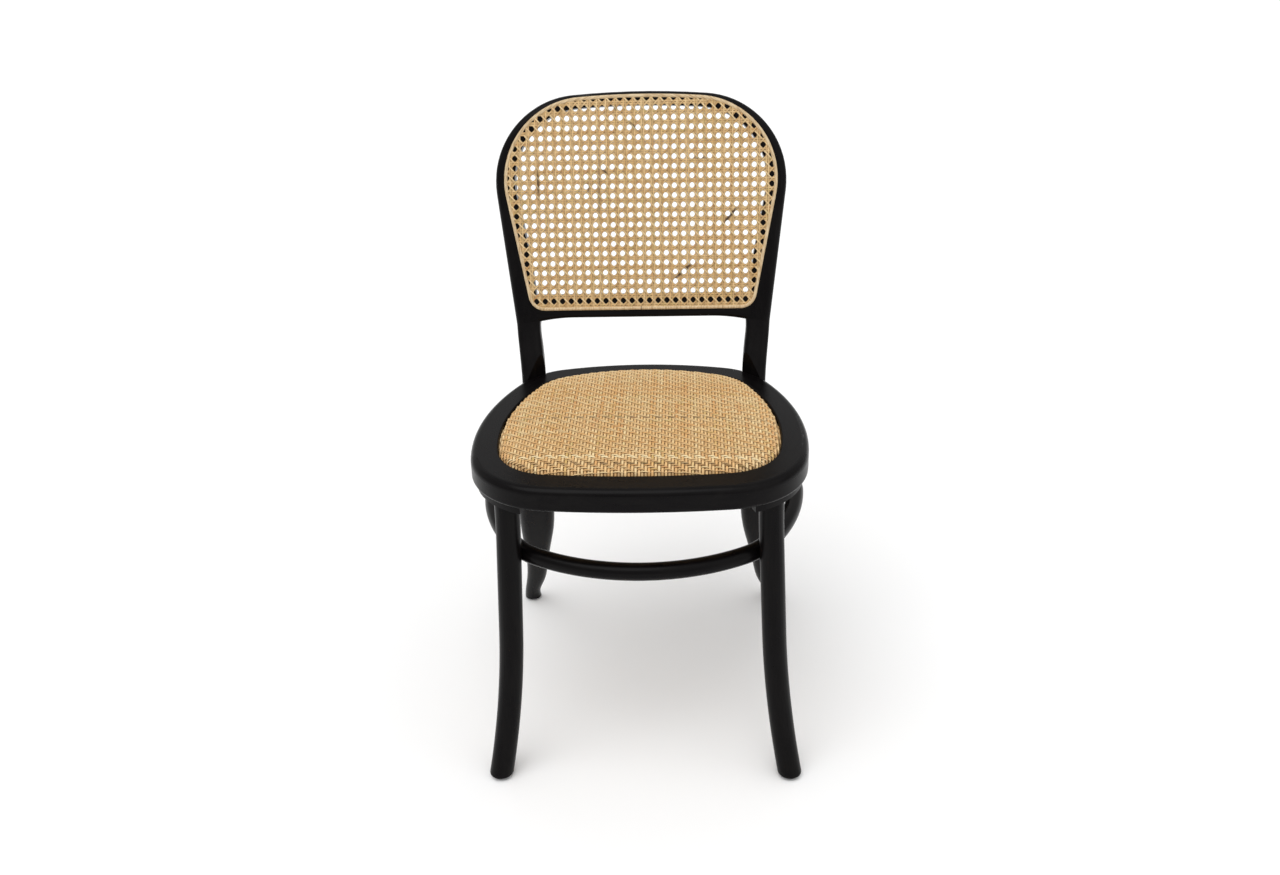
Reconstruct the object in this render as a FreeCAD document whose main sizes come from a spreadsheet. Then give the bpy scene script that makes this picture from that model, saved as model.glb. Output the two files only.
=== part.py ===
import FreeCAD, Part
import math
import os
import Sketcher

# Bentwood bistro chair, in millimetres. The origin is on the floor under the middle of the chair,
# +X is the sitter's left, +Y points to the back and +Z points up.

os.makedirs("parts", exist_ok=True)
doc = FreeCAD.newDocument("bistro_chair")
Vector = FreeCAD.Vector
Rotation = FreeCAD.Rotation
Placement = FreeCAD.Placement

driving = {
    # seat ring: height, section and the five radii of its outline
    "seatHeight": 463.0,
    "ringThick": 32.5,
    "ringFront": -247.1,
    "ringRear": 157.0,
    "ringHalfWidth": 226.0,
    "ringWidestY": -87.5,
    "ringFrontRadius": 1116.0,
    "ringFrontCorner": 115.0,
    "ringSideRadius": 375.0,
    "ringRearCorner": 93.0,
    "ringRearRadius": 467.0,
    "ringTopRound": 10.0,
    "ringBottomRound": 5.0,
    "rabbetDepth": 16.0,
    "rabbetRound": 2.0,
    "ledgeWidth": 12.0,
    # seat panel: outline of the woven cover, board, cover wall and crown
    "panelFront": -204.0,
    "panelRear": 127.0,
    "panelHalfWidth": 188.5,
    "panelWidestY": -81.8,
    "panelFrontRadius": 1029.0,
    "panelFrontCorner": 75.6,
    "panelSideRadius": 328.7,
    "panelRearCorner": 73.8,
    "panelRearRadius": 290.9,
    "panelGap": 1.2,
    "boardThick": 8.0,
    "coverThick": 2.0,
    "coverWall": 12.0,
    "crownHeight": 13.0,
    # back: the tilted plane of its front face, and the bow in that plane
    "backPlaneY": 138.2,
    "backPlaneZ": 552.8,
    "backTilt": 16.1,
    "bowTop": 314.0,
    "bowTopRadius": 1200.0,
    "bowCorner": 124.2,
    "bowFootHalf": 188.6,
    "bowFlare": 0.1225,
    "bowFoot": -15.0,
    "bowWidth": 35.5,
    "bowThick": 25.0,
    # cane of the back: outline, groove, reed and net
    "caneTop": 309.8,
    "caneBottom": 2.4,
    "caneTopRadius": 1200.0,
    "caneCorner": 118.0,
    "caneFootHalf": 162.6,
    "caneFlare": 0.196,
    "caneFootCorner": 24.0,
    "reedWidth": 5.0,
    "reedProud": 1.8,
    "grooveDepth": 5.0,
    "caneThick": 1.4,
    "windowInset": 15.5,
    "windowChamfer": 2.5,
    "netPitchX": 19.4,
    "netPitchY": 20.6,
    "netFirstRow": 17.0,
    "netHole": 12.4,
    # rail under the cane, and the tenons at its ends
    "railTop": 25.0,
    "railMiddle": -8.5,
    "railFlat": 100.0,
    "railReach": 166.0,
    "railDropRadius": 255.0,
    "railThick": 22.0,
    "railRound": 5.0,
    "tenonTall": 20.0,
    "tenonDeep": 8.0,
    "tenonReach": 17.0,
    # joint between post and seat ring: two points of its line on top of the ring, and its lean
    "jointOuterX": 175.0,
    "jointOuterY": 92.0,
    "jointInnerX": 146.0,
    "jointInnerY": 119.0,
    "jointLean": 11.5,
    "notchInner": 145.0,
    "notchOuter": 180.0,
    # bolts of the posts, measured outwards from the joint
    "boltDrop": 17.0,
    "boltRadius": 3.0,
    "boltHeadRadius": 6.0,
    "boltHeadThick": 5.0,
    "boltReach": 26.0,
    "boreRadius": 7.0,
    "boreFloor": 12.0,
    "plugFloor": 19.5,
    "washerRadius": 6.5,
    "washerThick": 1.2,
    "nutRadius": 5.0,
    "nutLength": 18.0,
    "nutReach": 18.0,
    # front legs
    "legTopX": 172.5,
    "legTopY": -181.5,
    "legFootX": 202.5,
    "legFootY": -230.0,
    "legRadius": 16.5,
    "legFootRound": 4.0,
    "legBendTop": 413.0,
    "legBendRadius": 800.0,
    "legLean": 4.1,
    "legKickTop": 215.0,
    "spigotRadius": 10.0,
    "spigotLength": 22.0,
    # blocks under the seat ring at the front legs
    "blockThick": 10.0,
    "blockInset": 6.0,
    "blockReach": 40.0,
    # stretcher ring
    "stretcherHeight": 328.5,
    "stretcherRadius": 12.0,
    "stretcherFront": -219.0,
    "stretcherRear": 73.9,
    "stretcherHalfWidth": 218.6,
    "stretcherWidestY": 15.6,
    "stretcherFrontRadius": 265.2,
    "stretcherFrontCorner": 97.9,
    "stretcherSideRadius": 303.3,
    "stretcherRearCorner": 55.6,
    "stretcherRearRadius": 900.0,
    # glides under the feet
    "rearFootX": 202.6,
    "rearFootY": 225.0,
    "glideRadius": 9.0,
    "glideThick": 3.0,
    "glideChamfer": 0.8,
}

sheet = doc.addObject("Spreadsheet::Sheet", "sizes")
for row, (alias, number) in enumerate(driving.items(), start=1):
    sheet.set("A%d" % row, alias)
    sheet.set("B%d" % row, str(number))
    sheet.setAlias("B%d" % row, alias)
doc.recompute()


def size(alias):
    return float(sheet.get(alias))


def newBody(label, place=None):
    body = doc.addObject("PartDesign::Body", label)
    body.Label = label
    if place is not None:
        body.Placement = place
    return body


def originPlane(body, role):
    for item in body.Origin.OriginFeatures:
        if item.Role == role:
            return item
    raise ValueError(role)


def newSketch(body, name, role="XY_Plane", offset=None):
    sketch = body.newObject("Sketcher::SketchObject", name)
    sketch.AttachmentSupport = [(originPlane(body, role), "")]
    sketch.MapMode = "FlatFace"
    if offset is not None:
        sketch.AttachmentOffset = offset
    return sketch


def addCircle(sketch, radius, expression):
    index = sketch.addGeometry(Part.Circle(Vector(0, 0, 0), Vector(0, 0, 1), radius), False)
    sketch.addConstraint(Sketcher.Constraint("Coincident", index, 3, -1, 1))
    constraint = sketch.addConstraint(Sketcher.Constraint("Radius", index, radius))
    sketch.setExpression("Constraints[%d]" % constraint, expression)


def addLoop(sketch, curves):
    # closed loop of curves whose meeting ends are tied together
    first = sketch.GeometryCount
    for curve in curves:
        sketch.addGeometry(curve, False)
    count = len(curves)
    for k in range(count):
        ends = []
        for index in (first + k, first + (k + 1) % count):
            gaps = [(sketch.getPoint(index, end) - curves[k].EndPoint).Length for end in (1, 2)]
            ends += [index, 1 if gaps[0] < gaps[1] else 2]
        sketch.addConstraint(Sketcher.Constraint("Coincident", *ends))


def addChain(sketch, curves):
    # open chain of curves that turn to the left, tied end to start
    for curve in curves:
        sketch.addGeometry(curve, False)
    for k in range(len(curves) - 1):
        sketch.addConstraint(Sketcher.Constraint("Coincident", k, 2, k + 1, 1))


def wireOf(curves):
    return Part.Wire([curve.toShape() for curve in curves])


def plateOf(outer, holes, low, high):
    # flat plate in the drawing plane with its openings
    face = Part.makeFace([outer] + holes, "Part::FaceMakerBullseye")
    face.translate(Vector(0, 0, low))
    return face.extrude(Vector(0, 0, high - low))


def checked(shape, label):
    if shape.isNull() or not shape.isValid():
        raise RuntimeError("bad shape: " + label)
    return shape


def feature(label, shape, place=None):
    item = doc.addObject("Part::Feature", label)
    item.Label = label
    item.Shape = checked(shape, label)
    if place is not None:
        item.Placement = place
    return item


def cutFrom(label, base, tools):
    tool = doc.addObject("Part::Compound", label + "_tools")
    tool.Links = tools
    result = doc.addObject("Part::Cut", label)
    result.Base = base
    result.Tool = tool
    result.Label = label
    return result


def mirrored(label, source):
    result = doc.addObject("Part::Mirroring", label)
    result.Source = source
    result.Normal = Vector(1, 0, 0)
    result.Label = label
    return result


def edgeNames(shape, wanted):
    return ["Edge%d" % n for n, edge in enumerate(shape.Edges, start=1) if wanted(edge)]


def levelEdges(shape, level):
    return edgeNames(shape, lambda edge: edge.BoundBox.ZLength < 0.01 and abs(edge.BoundBox.ZMin - level) < 0.01)


def rod(start, direction, radius, length):
    return Part.makeCylinder(radius, length, start, direction)


def screw(start, direction, sizes, opening=0.0):
    # head radius, head thickness, shank radius and whole length; the opening clears a way to the head
    headRadius, headThick, shankRadius, whole = sizes
    head = rod(start - direction * opening, direction, headRadius, headThick + opening)
    return head.fuse(rod(start, direction, shankRadius, whole)).removeSplitter()


def unit(vector):
    return vector * (1.0 / vector.Length)


def flipped(point):
    return Vector(-point.x, point.y, point.z)


# An outline of five tangent arcs and their mirror image: front, front corner, side, rear corner, rear.

def cornerCentre(centreA, radiusA, centreB, radiusB, radius):
    between = centreB - centreA
    a = radiusA - radius
    b = radiusB - radius
    along = (a * a - b * b + between.Length ** 2) / (2 * between.Length)
    across = math.sqrt(max(a * a - along * along, 0.0))
    forward = unit(between)
    side = Vector(-forward.y, forward.x, 0)
    choices = [centreA + forward * along + side * k * across for k in (1, -1)]
    return max(choices, key=lambda point: point.x)


def halfOutline(front, rear, half, widestY, radii):
    frontRadius, frontCorner, sideRadius, rearCorner, rearRadius = radii
    centreFront = Vector(0, front + frontRadius, 0)
    centreSide = Vector(half - sideRadius, widestY, 0)
    centreRear = Vector(0, rear - rearRadius, 0)
    centreA = cornerCentre(centreFront, frontRadius, centreSide, sideRadius, frontCorner)
    centreB = cornerCentre(centreSide, sideRadius, centreRear, rearRadius, rearCorner)
    points = [
        Vector(0, front, 0),
        centreFront + unit(centreA - centreFront) * frontRadius,
        centreSide + unit(centreA - centreSide) * sideRadius,
        centreSide + unit(centreB - centreSide) * sideRadius,
        centreRear + unit(centreB - centreRear) * rearRadius,
        Vector(0, rear, 0),
    ]
    return points, [centreFront, centreA, centreSide, centreB, centreRear]


def arcThrough(start, end, centre, radius):
    middle = centre + unit((start + end) * 0.5 - centre) * radius
    return Part.Arc(start, middle, end)


def seatOutline(prefix, grow=0.0, shrink=1.0, lift=0.0):
    # the outline named by the prefix, scaled about its middle, grown outwards and lifted
    centreY = 0.5 * (size(prefix + "Front") + size(prefix + "Rear"))

    def scaled(y):
        return centreY + (y - centreY) * shrink

    radii = []
    for name in ("FrontRadius", "FrontCorner", "SideRadius", "RearCorner", "RearRadius"):
        radii.append(size(prefix + name) * shrink + grow)
    points, centres = halfOutline(
        scaled(size(prefix + "Front")) - grow,
        scaled(size(prefix + "Rear")) + grow,
        size(prefix + "HalfWidth") * shrink + grow,
        scaled(size(prefix + "WidestY")),
        radii,
    )
    arcs = []
    for k in range(5):
        arcs.append(arcThrough(points[k], points[k + 1], centres[k], radii[k]))
    for k in reversed(range(5)):
        arcs.append(arcThrough(flipped(points[k + 1]), flipped(points[k]), flipped(centres[k]), radii[k]))
    for arc in arcs:
        arc.translate(Vector(0, 0, lift))
    return arcs


ringBottom = size("seatHeight") - size("ringThick")
ledgeTop = size("seatHeight") - size("rabbetDepth")

# Back frame: everything in it is drawn in the tilted plane of its front face.

backPlace = Placement(
    Vector(0, size("backPlaneY"), size("backPlaneZ")),
    Rotation(Vector(1, 0, 0), 90.0 - size("backTilt")),
)


def bowLine(top, topRadius, corner, footHalf, flare, foot):
    # one side from its foot up, the corner and the top arc, then the mirror image
    slope = unit(Vector(flare, 1, 0))
    outward = Vector(slope.y, -slope.x, 0)
    level = footHalf * outward.x - corner
    topCentre = Vector(0, top - topRadius, 0)
    low, high = 0.0, top
    for _ in range(60):
        middle = 0.5 * (low + high)
        x = (level - middle * outward.y) / outward.x
        if math.hypot(x, middle - topCentre.y) < topRadius - corner:
            low = middle
        else:
            high = middle
    cornerAt = Vector((level - low * outward.y) / outward.x, low, 0)
    start = Vector(footHalf + flare * foot, foot, 0)
    sideEnd = cornerAt + outward * corner
    topStart = topCentre + unit(cornerAt - topCentre) * topRadius
    return [
        Part.LineSegment(start, sideEnd),
        arcThrough(sideEnd, topStart, cornerAt, corner),
        Part.Arc(topStart, Vector(0, top, 0), flipped(topStart)),
        arcThrough(flipped(topStart), flipped(sideEnd), flipped(cornerAt), corner),
        Part.LineSegment(flipped(sideEnd), flipped(start)),
    ], start, slope


def inset(distance):
    # the bow's line moved inwards from its outer edge
    flare = size("bowFlare")
    return bowLine(
        size("bowTop") - distance,
        size("bowTopRadius") - distance,
        size("bowCorner") - distance,
        size("bowFootHalf") - distance * math.hypot(1, flare),
        flare,
        size("bowFoot"),
    )


def softBox(width, depth, radii):
    # rounded rectangle of four lines and four arcs; radii run from +x -y anticlockwise
    half = 0.5 * width
    deep = 0.5 * depth
    corners = [(half, -deep, -90), (half, deep, 0), (-half, deep, 90), (-half, -deep, 180)]
    edges = []
    last = None
    first = None
    for (x, y, angle), radius in zip(corners, radii):
        centre = Vector(x - math.copysign(radius, x), y - math.copysign(radius, y), 0)
        ends = []
        for turned in (0, 45, 90):
            a = math.radians(angle + turned)
            ends.append(centre + Vector(math.cos(a), math.sin(a), 0) * radius)
        if last is not None:
            edges.append(Part.LineSegment(last, ends[0]))
        edges.append(Part.Arc(ends[0], ends[1], ends[2]))
        last = ends[2]
        first = first or ends[0]
    edges.append(Part.LineSegment(last, first))
    return edges


# Back bow: a rounded section swept along its line, with the rear legs lofted on below it.

path, bowStart, bowSlope = inset(0.5 * size("bowWidth"))
bowRadii = (9.0, 9.0, 4.0, 4.0)

across = Vector(bowSlope.y, -bowSlope.x, 0)
normal = Vector(0, 0, 1)
turn = FreeCAD.Matrix()
turn.A11, turn.A21, turn.A31 = across
turn.A12, turn.A22, turn.A32 = normal
turn.A13, turn.A23, turn.A33 = across.cross(normal)
turn.A14, turn.A24, turn.A34 = Vector(bowStart.x, bowStart.y, -0.5 * size("bowThick"))
bowEnd = Placement(turn)

bow = newBody("bow", backPlace)
bowSpine = newSketch(bow, "bow_line", offset=Placement(Vector(0, 0, -0.5 * size("bowThick")), Rotation()))
bowSpine.setExpression("AttachmentOffset.Base.z", "-0.5 * sizes.bowThick")
addChain(bowSpine, path)
bowSection = newSketch(bow, "bow_section", offset=bowEnd)
addLoop(bowSection, softBox(size("bowWidth"), size("bowThick"), bowRadii))
doc.recompute()
bowSweep = bow.newObject("PartDesign::AdditivePipe", "bow_sweep")
bowSweep.Profile = bowSection
bowSweep.Spine = (bowSpine, [])
doc.recompute()

# rear leg: height, middle across, middle fore and aft, width, depth, corner radius
legStations = [
    (508.0, 166.7, 133.0, 34.6, 29.0, 9.5),
    (463.0, 162.7, 113.0, 34.0, 34.0, 10.0),
    (430.5, 162.2, 101.3, 34.0, 35.0, 10.5),
    (380.0, 163.4, 89.5, 39.0, 34.5, 11.5),
    (330.0, 166.3, 87.5, 46.0, 33.5, 12.5),
    (285.0, 169.5, 96.0, 52.0, 33.0, 13.5),
    (230.0, 172.9, 117.0, 54.7, 32.0, 14.0),
    (190.0, 175.9, 135.0, 51.8, 31.0, 14.0),
    (150.0, 180.0, 153.5, 44.0, 30.0, 14.0),
    (95.0, 185.8, 179.5, 34.5, 28.5, 13.6),
    (50.0, 193.5, 202.0, 30.0, 27.5, 13.0),
    (size("glideThick"), size("rearFootX"), size("rearFootY"), 27.0, 27.0, 13.0),
]
firstWire = wireOf(softBox(size("bowWidth"), size("bowThick"), bowRadii))
firstWire.Placement = backPlace.multiply(bowEnd)
sections = [firstWire]
for height, x, y, wide, deep, corner in legStations:
    section = wireOf(softBox(wide, deep, (corner, corner, corner, corner)))
    section.Placement = Placement(Vector(x, y, height), Rotation(Vector(1, 0, 0), 180))
    sections.append(section)
rearLeg = feature("rear_leg", Part.makeLoft(sections, True, False, False, 5))
bentFrame = doc.addObject("Part::MultiFuse", "bent_frame")
bentFrame.Shapes = [bow, rearLeg, mirrored("rear_leg_mirror", rearLeg)]
doc.recompute()
checked(bentFrame.Shape, "bent_frame")

# Cane outline: straight foot, two small foot corners, flared sides, big corners and the top arc.

def caneOutline(distance):
    flare = size("caneFlare")
    foot = size("caneFootHalf") - distance * math.hypot(1, flare)
    curves, _, slope = bowLine(
        size("caneTop") - distance,
        size("caneTopRadius") - distance,
        size("caneCorner") - distance,
        foot,
        flare,
        size("caneBottom"),
    )
    outward = Vector(slope.y, -slope.x, 0)
    radius = size("caneFootCorner") - distance
    bottom = size("caneBottom") + distance
    level = foot * outward.x - radius
    centre = Vector((level - (bottom + radius) * outward.y) / outward.x, bottom + radius, 0)
    sideFoot = centre + outward * radius
    bottomEnd = Vector(centre.x, bottom, 0)
    middle = Vector(0, bottom, 0)
    sideTop = curves[0].EndPoint
    return [
        Part.LineSegment(middle, bottomEnd),
        arcThrough(bottomEnd, sideFoot, centre, radius),
        Part.LineSegment(sideFoot, sideTop),
        curves[1],
        curves[2],
        curves[3],
        Part.LineSegment(flipped(sideTop), flipped(sideFoot)),
        arcThrough(flipped(sideFoot), flipped(bottomEnd), flipped(centre), radius),
        Part.LineSegment(flipped(bottomEnd), middle),
    ]


reedWidth = size("reedWidth")
grooveRoom = 2.0
groove = feature("cane_groove", plateOf(
    wireOf(caneOutline(0.0)), [wireOf(caneOutline(reedWidth))], -size("grooveDepth"), grooveRoom), backPlace)

# Window of the bow behind the cane: it follows the cane's outline, with a chamfer at the back.

windowBack = -size("bowThick")
chamfer = size("windowChamfer")
windowPlate = plateOf(wireOf(caneOutline(size("windowInset"))), [], windowBack - 1.0, grooveRoom)
slopeWires = []
for distance, level in (
    (size("windowInset") - 2 * chamfer, windowBack - chamfer),
    (size("windowInset"), windowBack + chamfer),
):
    slopeWire = wireOf(caneOutline(distance))
    slopeWire.translate(Vector(0, 0, level))
    slopeWires.append(slopeWire)
window = feature("bow_window", windowPlate.fuse(Part.makeLoft(slopeWires, True, True)), backPlace)

# Reed that holds the cane down in its groove: rounded on top, swept round the outline.

reedSlack = 0.1
reedShoulder = 0.2
reed = newBody("cane_spline", backPlace)
reedLine = newSketch(reed, "reed_line")
addLoop(reedLine, caneOutline(0.5 * reedWidth))
reedSection = newSketch(reed, "reed_section", "YZ_Plane")
reedMiddle = size("caneBottom") + 0.5 * reedWidth
reedHalf = 0.5 * reedWidth - reedSlack
lowLeft = Vector(reedMiddle - reedHalf, -size("grooveDepth"), 0)
lowRight = Vector(reedMiddle + reedHalf, -size("grooveDepth"), 0)
highLeft = Vector(lowLeft.x, reedShoulder, 0)
highRight = Vector(lowRight.x, reedShoulder, 0)
addLoop(reedSection, [
    Part.LineSegment(lowLeft, lowRight),
    Part.LineSegment(lowRight, highRight),
    Part.Arc(highRight, Vector(reedMiddle, size("reedProud"), 0), highLeft),
    Part.LineSegment(highLeft, lowLeft),
])
doc.recompute()
reedSweep = reed.newObject("PartDesign::AdditivePipe", "reed_sweep")
reedSweep.Profile = reedSection
reedSweep.Spine = (reedLine, [])
doc.recompute()

# Cane of the back: one sheet with its rows of eight-sided openings.

def octagon(x, y, width):
    reach = 0.5 * width / math.cos(math.pi / 8)
    points = []
    for k in range(9):
        a = math.pi / 8 + k * math.pi / 4
        points.append(Vector(x + reach * math.cos(a), y + reach * math.sin(a), 0))
    return Part.makePolygon(points)


netMargin = 1.6
openRoom = Part.Face(wireOf(caneOutline(reedWidth + 0.5 * size("netHole") + netMargin)))
openings = []
netRows = int(size("caneTop") / size("netPitchY")) + 1
netColumns = int(size("bowFootHalf") / size("netPitchX")) + 2
for i in range(-netColumns, netColumns + 1):
    for j in range(netRows):
        x = i * size("netPitchX")
        y = size("netFirstRow") + j * size("netPitchY")
        if openRoom.isInside(Vector(x, y, 0), 0.01, True):
            openings.append(octagon(x, y, size("netHole")))
canePanel = feature(
    "cane_panel", plateOf(wireOf(caneOutline(reedWidth)), openings, 0.0, size("caneThick")), backPlace)

# Rail under the cane: a straight bar whose lower edge drops towards the posts.

rail = newBody("rail_bar", backPlace)
railFace = newSketch(rail, "rail_face")
dropRadius = size("railDropRadius")


def dropPoint(x):
    away = x - size("railFlat")
    return Vector(x, size("railMiddle") - dropRadius + math.sqrt(dropRadius ** 2 - away ** 2), 0)


dropStart = dropPoint(size("railFlat"))
dropMiddle = dropPoint(0.5 * (size("railFlat") + size("railReach")))
dropEnd = dropPoint(size("railReach"))
railCorner = Vector(size("railReach"), size("railTop"), 0)
addLoop(railFace, [
    Part.LineSegment(flipped(dropStart), dropStart),
    Part.Arc(dropStart, dropMiddle, dropEnd),
    Part.LineSegment(dropEnd, railCorner),
    Part.LineSegment(railCorner, flipped(railCorner)),
    Part.LineSegment(flipped(railCorner), flipped(dropEnd)),
    Part.Arc(flipped(dropEnd), flipped(dropMiddle), flipped(dropStart)),
])
railPad = rail.newObject("PartDesign::Pad", "rail_pad")
railPad.Profile = railFace
railPad.setExpression("Length", "sizes.railThick")
railPad.Reversed = True
doc.recompute()


def underRail(edge):
    middle = backPlace.inverse().multVec(edge.CenterOfMass)
    return middle.y < 0 and edge.Length > 2 * size("railThick")


railRounding = rail.newObject("PartDesign::Fillet", "rail_round")
railRounding.Base = (railPad, edgeNames(rail.Shape, underRail))
railRounding.setExpression("Radius", "sizes.railRound")
doc.recompute()

tenonInside = 8.0
mortiseRoom = 0.1


def railTenon(side, room):
    start = size("bowFootHalf") - size("bowWidth") - tenonInside
    wide = size("tenonReach") + tenonInside + room
    low = -0.5 * (size("railThick") + size("tenonDeep")) - room
    corner = Vector(start if side > 0 else -start - wide, -room, low)
    box = Part.makeBox(wide, size("tenonTall") + 2 * room, size("tenonDeep") + 2 * room, corner)
    box.Placement = backPlace
    return box


tenons = []
mortises = []
for side, name in ((1, "left"), (-1, "right")):
    tenons.append(feature("rail_tenon_" + name, railTenon(side, 0.0)))
    mortises.append(feature("rail_mortise_" + name, railTenon(side, mortiseRoom)))
railFitted = cutFrom("rail_fitted", rail, [bentFrame])
railJoined = doc.addObject("Part::MultiFuse", "rail_joined")
railJoined.Shapes = [railFitted] + tenons
backRail = cutFrom("back_rail", railJoined, [groove])
doc.recompute()

# Stretcher ring: a round bar bent to a closed ring that lies against all four legs.

stretcherHeight = size("stretcherHeight")
stretcherBar = newBody("stretcher_bar", Placement(Vector(0, 0, stretcherHeight), Rotation()))
stretcherBar.setExpression("Placement.Base.z", "sizes.stretcherHeight")
stretcherLine = newSketch(stretcherBar, "stretcher_line")
addLoop(stretcherLine, seatOutline("stretcher"))
stretcherSection = newSketch(
    stretcherBar, "stretcher_section", "YZ_Plane", Placement(Vector(size("stretcherFront"), 0, 0), Rotation()))
stretcherSection.setExpression("AttachmentOffset.Base.x", "sizes.stretcherFront")
addCircle(stretcherSection, size("stretcherRadius"), "sizes.stretcherRadius")
doc.recompute()
stretcherSweep = stretcherBar.newObject("PartDesign::AdditivePipe", "stretcher_sweep")
stretcherSweep.Profile = stretcherSection
stretcherSweep.Spine = (stretcherLine, [])
doc.recompute()

# Front leg: one round bar, upright at the top, a slight lean below the ring and a long kick to the foot.
# Its line is drawn in the upright plane through the leg's top and foot: distance out, height.

ringToFoot = Vector(size("legFootX") - size("legTopX"), size("legFootY") - size("legTopY"), 0)
legTop = Vector(size("legTopX"), size("legTopY"), 0)
legPlace = Placement(legTop, Rotation(Vector(0, 0, 1), math.degrees(math.atan2(ringToFoot.y, ringToFoot.x))))
legLean = math.radians(size("legLean"))
bendTop = Vector(0, size("legBendTop"), 0)
bendCentre = bendTop + Vector(size("legBendRadius"), 0, 0)
bendEnd = bendCentre - Vector(math.cos(legLean), math.sin(legLean), 0) * size("legBendRadius")
kickStart = Vector(bendEnd.x + (bendEnd.y - size("legKickTop")) * math.tan(legLean), size("legKickTop"), 0)
legFoot = Vector(ringToFoot.Length, size("glideThick"), 0)
kickChord = legFoot - kickStart
footLean = 2 * math.atan2(kickChord.x, -kickChord.y) - legLean
kickRadius = kickChord.Length / (2 * math.sin(0.5 * (footLean - legLean)))
kickCentre = kickStart + Vector(math.cos(legLean), math.sin(legLean), 0) * kickRadius
footSpare = 10.0


def frontLegAt(height):
    # middle of the leg between its two bends
    away = bendEnd.x + (bendEnd.y - height) * math.tan(legLean)
    return legTop + unit(ringToFoot) * away


frontLeg = newBody("front_leg_bent", legPlace)
legLine = newSketch(frontLeg, "leg_line", "XZ_Plane")
addChain(legLine, [
    Part.LineSegment(Vector(0, ringBottom, 0), bendTop),
    arcThrough(bendTop, bendEnd, bendCentre, size("legBendRadius")),
    Part.LineSegment(bendEnd, kickStart),
    arcThrough(kickStart, legFoot, kickCentre, kickRadius),
    Part.LineSegment(legFoot, legFoot + Vector(math.sin(footLean), -math.cos(footLean), 0) * footSpare),
])
legSection = newSketch(frontLeg, "leg_section", offset=Placement(Vector(0, 0, ringBottom), Rotation()))
addCircle(legSection, size("legRadius"), "sizes.legRadius")
doc.recompute()
legSweep = frontLeg.newObject("PartDesign::AdditivePipe", "leg_sweep")
legSweep.Profile = legSection
legSweep.Spine = (legLine, [])
doc.recompute()
footSketch = newSketch(frontLeg, "foot_level", offset=Placement(Vector(0, 0, size("glideThick")), Rotation()))
footSketch.setExpression("AttachmentOffset.Base.z", "sizes.glideThick")
footCircle = footSketch.addGeometry(Part.Circle(Vector(legFoot.x, 0, 0), Vector(0, 0, 1), 3 * size("legRadius")), False)
footSketch.addConstraint(Sketcher.Constraint("Block", footCircle))
footCut = frontLeg.newObject("PartDesign::Pocket", "foot_cut")
footCut.Profile = footSketch
footCut.Length = 2 * footSpare
doc.recompute()
spigotSketch = newSketch(frontLeg, "spigot", offset=Placement(Vector(0, 0, ringBottom), Rotation()))
spigotSketch.setExpression("AttachmentOffset.Base.z", "sizes.seatHeight - sizes.ringThick")
addCircle(spigotSketch, size("spigotRadius"), "sizes.spigotRadius")
spigot = frontLeg.newObject("PartDesign::Pad", "spigot_pad")
spigot.Profile = spigotSketch
spigot.setExpression("Length", "sizes.spigotLength")
doc.recompute()
footRound = frontLeg.newObject("PartDesign::Fillet", "foot_round")
footRound.Base = (spigot, levelEdges(frontLeg.Shape, size("glideThick")))
footRound.setExpression("Radius", "sizes.legFootRound")
doc.recompute()

# Screws from inside the stretcher ring into the legs.

stretcherWire = wireOf(seatOutline("stretcher"))
stretcherScrewSizes = (4.2, 2.0, 2.0, 31.0)
headSink = 1.0
openWay = 3.0


def stretcherScrew(target, opening):
    near = stretcherWire.distToShape(Part.Vertex(target))[1][0][0]
    direction = unit(target - near)
    start = near - direction * (size("stretcherRadius") - headSink) + Vector(0, 0, stretcherHeight)
    return screw(start, direction, stretcherScrewSizes, opening)


frontTarget = frontLegAt(stretcherHeight)
rearTarget = Vector(legStations[4][1], legStations[4][2], 0)
targets = [frontTarget, flipped(frontTarget), rearTarget, flipped(rearTarget)]
stretcherScrews = feature(
    "stretcher_screws", Part.makeCompound([stretcherScrew(target, 0.0) for target in targets]))
stretcherHoles = feature(
    "stretcher_holes", Part.makeCompound([stretcherScrew(target, openWay) for target in targets]))
stretcher = cutFrom("stretcher_ring", stretcherBar, [stretcherHoles])
frontLegLeft = cutFrom("front_leg_left", frontLeg, [stretcherBar, stretcherHoles])
frontLegRight = mirrored("front_leg_right", frontLegLeft)
doc.recompute()

# Joint of the posts: a leaning plane between ring bottom and ring top, upright above the ring.

jointOuter = Vector(size("jointOuterX"), size("jointOuterY"), size("seatHeight"))
jointInner = Vector(size("jointInnerX"), size("jointInnerY"), size("seatHeight"))
jointAlong = unit(jointInner - jointOuter)
jointOut = unit(Vector(jointAlong.y, -jointAlong.x, 0))
lean = size("jointLean") / size("ringThick")


def prism(points, low, high, leaning, side):
    # upright or leaning prism over points given at the height of the seat
    corners = []
    for point in points + points[:1]:
        y = point.y + leaning * (low - size("seatHeight"))
        corners.append(Vector(side * point.x, y, low))
    face = Part.Face(Part.makePolygon(corners))
    return face.extrude(Vector(0, leaning * (high - low), high - low))


postReach = 60.0
lineStart = jointOuter - jointAlong * postReach
lineEnd = jointInner + jointAlong * postReach
seatSide = [lineStart, lineEnd, lineEnd - jointOut * postReach, lineStart - jointOut * postReach]


def jointPoint(x):
    share = (size("jointOuterX") - x) / (size("jointOuterX") - size("jointInnerX"))
    return jointOuter + (jointInner - jointOuter) * share


notchStart = jointPoint(size("notchOuter"))
notchEnd = jointPoint(size("notchInner"))
outwards = Vector(0, 3 * postReach, 0)
postSide = [notchStart, notchEnd, notchEnd + outwards, notchStart + outwards]

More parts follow.
